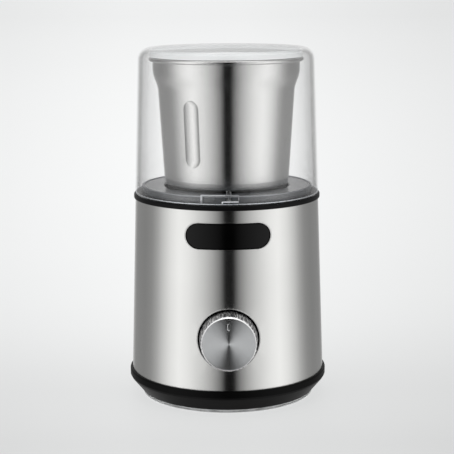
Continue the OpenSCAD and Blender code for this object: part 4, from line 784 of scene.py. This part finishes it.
def radius_at(node, height):
    """How far a node reaches from the upright axis at one of its edges."""
    near = [v.co for v in nodes[node].data.vertices if abs(v.co.z - height) < SAME_LEVEL]
    return max(math.hypot(co.x, co.y) for co in near)


skin_low, skin_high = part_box("body_skin")
SKIN_FOOT_RADIUS = radius_at("body_skin", skin_low.z)
SKIN_HEAD_RADIUS = radius_at("body_skin", skin_high.z)
print("skin radius from", round(1000 * SKIN_FOOT_RADIUS, 2), "to", round(1000 * SKIN_HEAD_RADIUS, 2), "mm")

# %% [markdown]
# ## Rolled lips round the knob and the button
#
# Where the skin is pierced, its edge is rolled over so that no finger meets a raw edge. The roll is
# polished by the tool, and it draws a thin bright line where it faces the light. It follows the skin's
# slope, so each point's distance from the axis comes from the skin's own radius at that height.

# %% Rolled lips
def on_skin(x, z):
    """The skin's front at x and z."""
    share = (z - skin_low.z) / (skin_high.z - skin_low.z)
    radius = SKIN_FOOT_RADIUS + (SKIN_HEAD_RADIUS - SKIN_FOOT_RADIUS) * share
    return Vector((x, -math.sqrt(radius ** 2 - x ** 2), z))


def ring_path(half_width, radius, steps=24):
    """A slot's outline in X and Z about its middle. With no half_width it is a circle."""
    points = []
    for end in (1, -1):
        for i in range(steps + 1):
            angle = math.pi * i / steps - math.pi / 2
            points.append((end * (half_width + radius * math.cos(angle)), end * radius * math.sin(angle)))
    return points if half_width else points[:steps] + points[steps + 1:-1]


LIP_HALF_WIDTH = 0.26 * MM
LIP_HALF_HEIGHT = 0.32 * MM
KNOB_GAP = 0.8 * MM
BUTTON_GAP = 0.5 * MM
button_low, button_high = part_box("button_cap")
knob_centre = (knob_low + knob_high) / 2
button_centre = (button_low + button_high) / 2
knob_opening = (knob_high.x - knob_low.x) / 2 + KNOB_GAP
button_opening = (button_high.z - button_low.z) / 2 + BUTTON_GAP
button_straight = (button_high.x - button_low.x) / 2 + BUTTON_GAP - button_opening

lip_steel, _ = marked_finish("rolled_lip", (0.72, 0.72, 0.71), 0.22, (0.18, 0.28), (800, 800, 800), 1.0)
for name, centre, half_width, radius in (
    ("knob_lip", knob_centre, 0, knob_opening),
    ("button_lip", button_centre, button_straight, button_opening),
):
    outline = ring_path(half_width, radius + LIP_HALF_WIDTH)
    spots = [on_skin(centre.x + x, centre.z + z) for x, z in outline]
    lip = bead_along(name, spots, outward(spots), LIP_HALF_WIDTH, LIP_HALF_HEIGHT)
    dress(lip, lip_steel, "base")
print("openings of", round(2000 * knob_opening, 1), "and", round(2000 * button_opening, 1), "mm")

# %% [markdown]
# ## The pointer's bright edge
#
# The slot near the knob's edge shows which way the knob points. Its cutter throws up a thin burr on
# the side where its teeth leave the metal. The burr is rough, so it gathers light from all sides and
# stays bright while the face round it goes dark. It is a bead along an open path in the shape of a C:
# round the slot's one end, down its side, and round the other end.

# %% Pointer burr
face_low, face_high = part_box("knob_face")
SLOT_HALF_LENGTH = 1.1 * MM
SLOT_HALF_WIDTH = 0.6 * MM
SLOT_FROM_EDGE = 4.6 * MM
BURR_HALF_WIDTH = 0.13 * MM
BURR_HALF_HEIGHT = 0.1 * MM
BURR_START, BURR_SWEEP = math.radians(60), math.radians(120)
BURR_STEPS = 10

burr, _ = marked_finish("bright_burr", (0.92, 0.92, 0.92), 0.6, (0.55, 0.7), (2000, 2000, 2000), 1.0)
slot_middle = (face_low.z + face_high.z) / 2 + (face_high.z - face_low.z) / 2 - SLOT_FROM_EDGE
one_end = []
for i in range(BURR_STEPS + 1):
    angle = BURR_START + BURR_SWEEP * i / BURR_STEPS
    x = SLOT_HALF_WIDTH * math.cos(angle)
    z = SLOT_HALF_WIDTH * math.sin(angle) + SLOT_HALF_LENGTH
    one_end.append((x, z))
burr_outline = one_end + [(x, -z) for x, z in reversed(one_end)]
burr_path = [Vector((knob_centre.x + x, face_low.y, slot_middle + z)) for x, z in burr_outline]
pointer_burr = bead_along("pointer_burr", burr_path, [TO_THE_FRONT] * len(burr_path),
                          BURR_HALF_WIDTH, BURR_HALF_HEIGHT, closed=False)
dress(pointer_burr, burr, "knob")
print("pointer slot in the middle of z", round(1000 * slot_middle, 1), "mm")

# %% [markdown]
# ## The lid's lower edge
#
# Light that enters a clear moulding runs along inside its walls and comes out where they end, so a
# clear lid has a bright line round its lower edge. Tracing that light through the wall would take a
# renderer a long time. We lay a thin ring inside the lid's foot instead, more metal than plastic, that
# mirrors the bright room.

# %% Lid edge
EDGE_HALF = 0.3 * MM
EDGE_INSET = 0.1 * MM
edge_light, _ = marked_finish("clear_edge", (0.7, 0.73, 0.77), 0.25, (0.2, 0.35), (200, 200, 200), 0.7)
lid_foot_radius = radius_at("lid", lid_low.z)
edge_path = circle(lid_foot_radius - EDGE_HALF - EDGE_INSET, lid_low.z + EDGE_HALF + EDGE_INSET)
foot_edge = bead_along("lid_foot_edge", edge_path, outward(edge_path), EDGE_HALF, EDGE_HALF)
dress(foot_edge, edge_light, "lid")
print("lid edge", round(2000 * lid_foot_radius, 1), "mm across")

# %% [markdown]
# ## The finishes of the bayonet ribs
#
# Inside its foot the lid carries a frame of ribs that hooks under the deck's lugs when the lid is
# turned. A rib that we see end on glows, because the light that ran along the wall leaves it there.
# How much depends on how the rib stands to us, so there are three finishes, lit and shaded copies of
# one plastic: a lit one, a brighter one for the ledge that carries the lock, and a shaded one for the
# side that turns away. Their colours are painted light and shade, and each gets a faint painted glow
# on top of what falls on it.

# %% Rib finishes
RIB_ROUGHNESS = 0.35
RIB_WANDERS = (0.3, 0.45)
RIB_MARKS = (400, 400, 400)
RIB_GLOW_COLOUR = (0.95, 0.96, 1, 1)


def rib_glow(name, colour, glow):
    """A rib seen end on. glow is the light that comes out of it, on top of what falls on it."""
    material, shader = marked_finish(name, colour, RIB_ROUGHNESS, RIB_WANDERS, RIB_MARKS)
    shader.inputs["Emission Color"].default_value = RIB_GLOW_COLOUR
    shader.inputs["Emission Strength"].default_value = glow
    return material


# Painted light and shade: the three colours and glows stand for how each rib faces the light.
rib_lit = rib_glow("rib_lit", (0.7, 0.71, 0.74), 0.06)
rib_highlit = rib_glow("rib_highlit", (0.85, 0.86, 0.88), 0.3)
rib_shaded = rib_glow("rib_shaded", (0.35, 0.35, 0.37), 0.03)
print("three rib finishes")

# %% [markdown]
# ## The frame of ribs
#
# The frame is a stop on the left, a roof that runs to the right and comes down at its end, and a ledge
# with a foot that closes the track from below. We lay one thin rod along each of them, on the lid's
# inner wall, as painted light: the rods draw the bright lines where light leaves the ribs. Each line of
# the list gives a rod's path, its half width and its finish. The same frame stands at the back, half a
# turn round, because the lid has to hook in on two sides.

# %% Bayonet ribs
deck_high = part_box("top_deck")[1]
# Directions in degrees from the front
TRACK_LEFT, TRACK_LEDGE, TRACK_DIMS, TRACK_RIGHT = -16.7, -3.5, -1.5, 6.7
TRACK_TOP = deck_high.z + 1.0 * MM
TRACK_LEDGE_Z = deck_high.z - 2.3 * MM
TRACK_END_Z = TRACK_LEDGE_Z + 0.7 * MM
TRACK_FOOT_Z = lid_low.z + 0.5 * MM
RIB_RADIUS = lid_foot_radius - LID_WALL - 0.4 * MM
RIB_HALF = 0.28 * MM


def sweep(start, end, height, steps=12):
    """Points along the lid's inside at one height."""
    return [around(start + (end - start) * i / steps, RIB_RADIUS, height) for i in range(steps + 1)]


def facing(point, degrees):
    """Turns a point about the upright axis."""
    a = math.radians(degrees)
    x = point.x * math.cos(a) - point.y * math.sin(a)
    y = point.x * math.sin(a) + point.y * math.cos(a)
    return Vector((x, y, point.z))


def upright_rod(degrees, low, high):
    """The two ends of an upright rod on the lid's inside."""
    return [around(degrees, RIB_RADIUS, low), around(degrees, RIB_RADIUS, high)]


TRACK_RODS = {
    "stop": (upright_rod(TRACK_LEFT, TRACK_FOOT_Z, TRACK_TOP), 0.55 * MM, rib_lit),
    "roof": (sweep(TRACK_LEFT, TRACK_DIMS, TRACK_TOP), 0.27 * MM, rib_lit),
    "roof_end": (sweep(TRACK_DIMS, TRACK_RIGHT, TRACK_TOP, 6), 0.25 * MM, rib_shaded),
    "end": (upright_rod(TRACK_RIGHT, TRACK_TOP, TRACK_END_Z), 0.3 * MM, rib_shaded),
    "ledge": (sweep(TRACK_LEDGE, TRACK_RIGHT, TRACK_LEDGE_Z, 6), 0.26 * MM, rib_highlit),
    "ledge_foot": (upright_rod(TRACK_LEDGE, TRACK_LEDGE_Z, TRACK_FOOT_Z), 0.34 * MM, rib_highlit),
}
# Each rod is a line of painted light.
for side, degrees in (("front", 0), ("back", 180)):
    for part, (line, half, finish) in TRACK_RODS.items():
        path = [facing(p, degrees) for p in line]
        rod = bead_along(f"track_{part}_{side}", path, outward(path), half, RIB_HALF, closed=False, sides=8)
        dress(rod, finish, "lid")
print("track frame", round(1000 * (TRACK_TOP - TRACK_FOOT_Z), 1), "mm high")

# %% [markdown]
# ## The glow on the seal's seat
#
# The seal is pressed onto a short ring that grows down from the lid's top. Light that the seal
# scatters is caught in that ring and in the lid's wall over it, so seen from a low stand the white
# seems to reach right up to the top. We paint that glow as a hoop of painted light, thin and white with
# the seal's glowing finish, from the seal to just under the lid's upper face.

# %% Seal seat
seal_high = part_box("lid_gasket")[1]
SEAT_OUT = 39.9 * MM
SEAT_IN = SEAT_OUT - 0.7 * MM
SEAT_FOOT = seal_high.z - 0.3 * MM
SEAT_TOP = lid_high.z - 0.8 * MM
seat_glow_section = [(SEAT_OUT, SEAT_FOOT), (SEAT_OUT, SEAT_TOP), (SEAT_IN, SEAT_TOP), (SEAT_IN, SEAT_FOOT)]
# A hoop of painted light, with the seal's glowing finish.
seal_seat_glow = thrown("seal_seat_glow", seat_glow_section)
dress(seal_seat_glow, seal_white, "lid")
print("seal seat", round(1000 * (SEAT_TOP - seal_high.z), 2), "mm tall")

# %% [markdown]
# ## The cup's crimped edge
#
# Where the cup's wall ends, its steel is rolled in and crimped over the plastic foot. The crimp carries
# the wall's line on down almost to the deck and only then rounds in. We write its section down as steps
# in millimetres from the cup's lower edge, outwards and upwards: first down the outside and then back
# up inside the wall. Then we carry that section round the axis.

# %% Cup crimp
CRIMP_SECTION = [
    (-0.08, 4.2), (0.0, 3.6), (-0.08, 3.0), (-0.17, 2.2), (-0.27, 1.4), (-0.4, 0.6), (-0.6, 0.0),
    (-0.95, -0.6), (-1.45, -1.0), (-2.0, -1.2), (-2.0, 0.0), (-1.4, 1.1), (-0.5, 2.3), (-0.2, 3.4),
]
cup_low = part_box("grinding_cup")[0]
near_edge = cup_low.z + 4 * MM
cup_points = [v.co for v in nodes["grinding_cup"].data.vertices]
cup_foot_radius = max(math.hypot(co.x, co.y) for co in cup_points if co.z < near_edge)
crimp = [(cup_foot_radius + out * MM, cup_low.z + up * MM) for out, up in CRIMP_SECTION]
cup_crimp = thrown("cup_crimp", crimp)
dress(cup_crimp, finishes["cup_steel"], "cup")
print("cup foot radius", round(1000 * cup_foot_radius, 2), "mm")

# %% [markdown]
# ## The deck's polished rim
#
# The deck's top edge is the line that the mould parts along, and it is buffed after moulding. A buffed
# edge is round and glossy, so it collects the panels' light in a thin bright line. We lay a slim bead
# along the edge, a little inside it, with a metal's mirror but a plastic's grey.

# %% Deck rim
RIM_HALF_WIDTH = 0.7 * MM
RIM_HALF_HEIGHT = 0.45 * MM
RIM_SUNK = 0.1 * MM
DECK_BEVEL = 0.6 * MM
rim_grey, _ = marked_finish("buffed_rim", (0.36, 0.37, 0.39), 0.4, (0.36, 0.46), (600, 600, 600), 1.0)
deck_edge_radius = radius_at("top_deck", deck_high.z - DECK_BEVEL)
deck_rim = full_ring("deck_rim_edge", deck_edge_radius - RIM_HALF_WIDTH, deck_high.z - RIM_SUNK,
                     RIM_HALF_WIDTH, RIM_HALF_HEIGHT)
dress(deck_rim, rim_grey, "base")
print("deck edge", round(2000 * deck_edge_radius, 1), "mm across")

# %% [markdown]
# ## The foot ring's flared lip
#
# A ring foot ends in a thin lip that spreads under the appliance's weight and grips the table. Being
# thin and pale, it lets the light through and shows as a bright line where the grinder stands.

# %% Foot lip
foot_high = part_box("foot_ring")[1]
LIP_REACH = 0.75 * MM
LIP_THICK = 0.35 * MM
LIP_CLEARS = 0.02 * MM
LIP_HAZE = (200, 200, 200)
lip_white, lip_shader = marked_finish("thin_silicone_lip", (0.95, 0.96, 0.96), 0.3, (0.25, 0.4), LIP_HAZE)
let_light_in(lip_shader)
foot_lip = full_ring("foot_ring_lip", foot_high.x + LIP_REACH / 2, LIP_THICK + LIP_CLEARS,
                     LIP_REACH, LIP_THICK)
dress(foot_lip, lip_white, "base")
print("foot", round(2000 * foot_high.x, 1), "mm across, its lip", round(1000 * LIP_REACH, 2), "mm")

# %% [markdown]
# ## The lock pin's ribs
#
# The pin that feels whether the lid is on slides up and down in a notch of the deck. Its front is
# ribbed, so that it doesn't stick to the lid's wall, and two of the ribs run on upwards as small
# prongs. They are upright rods in front of the pin and move with it. The list gives each rib's place
# to the side and where it ends against the pin's top, in millimetres.

# %% Pin ribs
pin_low, pin_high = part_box("interlock_pin")
PIN_RIB_HALF = 0.16 * MM
PIN_RIB_FOOT = deck_high.z - 2.6 * MM
PIN_RIBS = {"left": (-0.5, 0.0), "middle": (0.45, -2.2), "right": (1.35, -0.3)}
pin_grey, _ = marked_finish("pin_rib_grey", (0.3, 0.31, 0.32), 0.35, (0.25, 0.4), (1500, 1500, 300))
pin_front = pin_low.y - PIN_RIB_HALF / 2
for name, (x, top) in PIN_RIBS.items():
    line = [Vector((x * MM, pin_front, PIN_RIB_FOOT)), Vector((x * MM, pin_front, pin_high.z + top * MM))]
    rib = bead_along(f"pin_rib_{name}", line, [TO_THE_FRONT] * 2, PIN_RIB_HALF, PIN_RIB_HALF, closed=False)
    dress(rib, pin_grey, "interlock")
print("pin", round(1000 * (pin_high.x - pin_low.x), 2), "mm wide")

# %% [markdown]
# ## The spring under the lock pin
#
# A coil spring is wound from wire on a mandrel, and it grows shorter when it is pressed. The model's
# own spring keeps its length, so here we wind one with a mesh of its own: a bead carried up a helix,
# in the same place and of the same size. It stands for the model's spring, which is hidden.

# %% Lock spring
spring_low, spring_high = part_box("interlock_spring")
SPRING_TURNS = 6
SPRING_STEPS = 16
SPRING_WIRE_HALF = 0.2 * MM
SPRING_SIDE_ROOM = 1.3 * SPRING_WIRE_HALF
SPRING_END_ROOM = 2.5 * SPRING_WIRE_HALF
spring_middle = (spring_low + spring_high) / 2
coil_radius = (spring_high.x - spring_low.x) / 2 - SPRING_SIDE_ROOM
coil_foot = spring_low.z + SPRING_WIRE_HALF
coil_rise = spring_high.z - spring_low.z - SPRING_END_ROOM
coil_path, coil_outs = [], []
for i in range(SPRING_TURNS * SPRING_STEPS + 1):
    angle = math.tau * i / SPRING_STEPS
    out = Vector((math.cos(angle), math.sin(angle), 0))
    height = coil_foot + coil_rise * i / (SPRING_TURNS * SPRING_STEPS)
    coil_path.append(Vector((spring_middle.x, spring_middle.y, height)) + out * coil_radius)
    coil_outs.append(out)
lock_spring = bead_along("lock_spring", coil_path, coil_outs, SPRING_WIRE_HALF, SPRING_WIRE_HALF,
                         closed=False, sides=8)
dress(lock_spring, finishes["plain_steel"], "base")
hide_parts("interlock_spring")
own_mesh(lock_spring)
print("lock spring", round(1000 * (spring_high.z - spring_low.z), 2), "mm long, coil radius",
      round(1000 * coil_radius, 2))

# %% [markdown]
# ## The studio's panels
#
# Brushed steel has no look of its own. It shows the room, so the room has to be designed. Two tall
# soft panels stand to the left and the right, and they give the two broad bright bands. Behind the
# camera it is dark, and that makes the one narrow dark stripe down the middle. We build this room as a
# sky that changes with the compass direction. Each stop of a list gives a share of the way round, from
# behind the camera (0) to the far side of the room (1), and how bright the room is there. What steel
# sees below the horizon is the lit table, and that has a list of its own.

# %% Panels and table
PANELS = [
    (0.0, 0.004), (0.029, 0.008), (0.063, 0.26), (0.115, 0.52), (0.165, 0.72), (0.21, 0.88),
    (0.275, 1.07), (0.35, 1.2), (0.42, 1.02), (0.485, 0.75), (0.54, 0.49), (0.6, 0.33),
    (0.68, 0.28), (0.85, 0.3), (1.0, 0.8),
]
TABLE = [
    (0.0, 0.004), (0.029, 0.008), (0.063, 0.22), (0.115, 0.5), (0.165, 0.72), (0.21, 0.88),
    (0.275, 1.07), (0.35, 1.2), (0.45, 1.05), (0.55, 0.76), (0.65, 0.5), (0.72, 0.4), (1.0, 0.7),
]
print("panels with", len(PANELS), "stops, table with", len(TABLE))

# %% [markdown]
# ## The gap behind the camera
#
# The compass direction is the angle of X against Y, and the gap between the panels lies a little to
# one side of the camera. The panels lean away from each other above and below, so the gap grows wider
# as a direction climbs or drops: near the gap we shrink the share of the way round by a power of the
# height, which keeps it in the dark for longer. Well away from the gap nothing changes, and a smooth
# step leads from the one to the other.

# %% Compass of the sky
GAP_TURN = math.radians(1.8)
GAP_WIDENS = (0.08, 0.35)
GAP_SPREAD = 2.6
GAP_SPREAD_BELOW = 0.72

world = bpy.data.worlds.new("studio")
world.use_nodes = True
bpy.context.scene.world = world
sky = world.node_tree


def eased(source, start, end):
    """From 0 to 1, with gentle ends, as a value goes from start to end."""
    step = sky.nodes.new("ShaderNodeMapRange")
    step.interpolation_type = "SMOOTHSTEP"
    step.inputs["From Min"].default_value = start
    step.inputs["From Max"].default_value = end
    sky.links.new(source, step.inputs["Value"])
    return step.outputs["Result"]


direction = sky.nodes.new("ShaderNodeTexCoord")
axes = sky.nodes.new("ShaderNodeSeparateXYZ")
sky.links.new(direction.outputs["Generated"], axes.inputs[0])
climb = axes.outputs["Z"]
compass = maths(sky, "ARCTAN2", axes.outputs["X"], maths(sky, "MULTIPLY", axes.outputs["Y"], -1.0))
from_gap = maths(sky, "ABSOLUTE", maths(sky, "SUBTRACT", compass, GAP_TURN))
plain_share = maths(sky, "DIVIDE", from_gap, math.pi)
from_level = maths(sky, "MAXIMUM", climb, maths(sky, "MULTIPLY", climb, -GAP_SPREAD_BELOW))
level_part = maths(sky, "SUBTRACT", 1.0, maths(sky, "POWER", from_level, GAP_SPREAD))
away = eased(plain_share, *GAP_WIDENS)
raised = maths(sky, "MULTIPLY", maths(sky, "SUBTRACT", 1.0, level_part), away)
compass_share = maths(sky, "MULTIPLY", plain_share, maths(sky, "ADD", level_part, raised))
print("gap lies", round(math.degrees(GAP_TURN), 1), "degrees to the side")

# %% [markdown]
# ## Table, overhead and backdrop
#
# Now the sky is stacked up by height: the table's light below, the panels round the middle, and a
# bright ceiling for the rims. Right overhead the ceiling is calmer, or the blade and the floor of the
# cup would burn out when we look down into them. Last comes a plain pale backdrop that only rays
# straight from the camera find. Light Path tells them from mirrored ones, so the room shows in the
# steel but not behind the grinder.

# %% Stack the sky
TABLE_BAND = (-0.5, -0.3)
OVERHEAD = 1.9
OVERHEAD_BAND = (0.84, 0.97)
ZENITH = 0.95
ZENITH_BAND = (0.975, 0.995)
BACKDROP = 0.79

panels = curve(sky, compass_share, PANELS)
table = curve(sky, compass_share, TABLE)
lower = mix(sky, eased(climb, *TABLE_BAND), table, panels)
upper = mix(sky, eased(climb, *OVERHEAD_BAND), lower, (OVERHEAD, OVERHEAD, OVERHEAD, 1))
whole = mix(sky, eased(climb, *ZENITH_BAND), upper, (ZENITH, ZENITH, ZENITH, 1))
seen_straight = sky.nodes.new("ShaderNodeLightPath").outputs["Is Camera Ray"]
shown = mix(sky, seen_straight, whole, (BACKDROP, BACKDROP, BACKDROP, 1))
sky.links.new(shown, sky.nodes["Background"].inputs["Color"])
bpy.context.scene.view_settings.view_transform = "Standard"
print("ceiling", OVERHEAD, "bright, backdrop", BACKDROP)

# %% [markdown]
# ## A lit table
#
# Small appliances are often taken on a sheet of milky plastic that is lit from below. It swallows most
# of the shadow and leaves only a breath of it round the foot. So our floor glows as well as it
# scatters. The glow follows the depth: it is dimmest in front, strongest a little behind the grinder
# and calmer again where the sheet runs back. Behind the grinder it also fades to both sides, like a
# fan, because the lamp under the sheet stands in the middle. Metal doesn't mirror the sheet, because
# the sky below the horizon already holds the table's light.

# %% Floor
FLOOR_HALF = 30.0
FLOOR_CUTS = 4
FLOOR_SCATTER = 0.12
FLOOR_ROUGHNESS = 0.6
FLOOR_THROWS_BACK = 0.1
GLOW_COLOUR = (0.99, 1, 1, 1)
GLOW_NEAR = -0.2
GLOW_REACH = 7.0
GLOW = [
    (0.0, 0.64), (0.0157, 0.655), (0.021, 0.685), (0.028, 0.7), (0.037, 0.75), (0.046, 0.785),
    (0.057, 0.81), (0.082, 0.83), (0.117, 0.84), (0.169, 0.835), (0.27, 0.815), (0.43, 0.785),
    (0.72, 0.755), (1.0, 0.735),
]
FAN_FROM = 0.9
FAN_LEFT = 0.02
FAN_FADE = (-0.35, -0.1)
FAN = [(0.0, 0.98), (0.04, 0.98), (0.1, 0.93), (0.18, 0.86), (1.0, 0.8)]

floor_mesh = bmesh.new()
bmesh.ops.create_grid(floor_mesh, x_segments=FLOOR_CUTS, y_segments=FLOOR_CUTS, size=FLOOR_HALF)
floor_data = bpy.data.meshes.new("floor")
floor_mesh.to_mesh(floor_data)
floor_mesh.free()
floor = bpy.data.objects.new("floor", floor_data)
bpy.context.scene.collection.objects.link(floor)
milky, milky_shader = new_finish("milky_sheet", (FLOOR_SCATTER,) * 3, FLOOR_ROUGHNESS)
sheet = milky.node_tree
spot = own_axes(milky)
depth_share = numbers(milky, spot["Y"], 0, 1, GLOW_NEAR, GLOW_REACH)
slant = maths(sheet, "DIVIDE", spot["X"], maths(sheet, "ADD", spot["Y"], FAN_FROM))
fan = maths(sheet, "ABSOLUTE", maths(sheet, "ADD", slant, FAN_LEFT))
behind = numbers(milky, spot["Y"], 0, 1, *FAN_FADE)
loss = maths(sheet, "MULTIPLY", behind, maths(sheet, "SUBTRACT", 1.0, curve(sheet, fan, FAN)))
glow = maths(sheet, "MULTIPLY", curve(sheet, depth_share, GLOW), maths(sheet, "SUBTRACT", 1.0, loss))
join(milky, glow, milky_shader, "Emission Strength")
milky_shader.inputs["Emission Color"].default_value = GLOW_COLOUR
milky_shader.inputs["Specular IOR Level"].default_value = FLOOR_THROWS_BACK
floor.data.materials.append(milky)
floor.visible_glossy = False
floor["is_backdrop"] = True
print("floor is", 2 * FLOOR_HALF, "m wide")

# %% [markdown]
# ## Measure the size at the end
#
# We measure how far the dressed grinder stands out of the engineer's box and print the largest
# amount. The dressed grinder has to stay inside the engineer's box. That closes the script.

# %% Measure and finish
shown_low, shown_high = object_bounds()
grown_below = max(a - b for a, b in zip(cad_low, shown_low))
grown_above = max(b - a for a, b in zip(cad_high, shown_high))
print("the dressed model stands out by", round(1000 * max(grown_below, grown_above), 3), "mm")
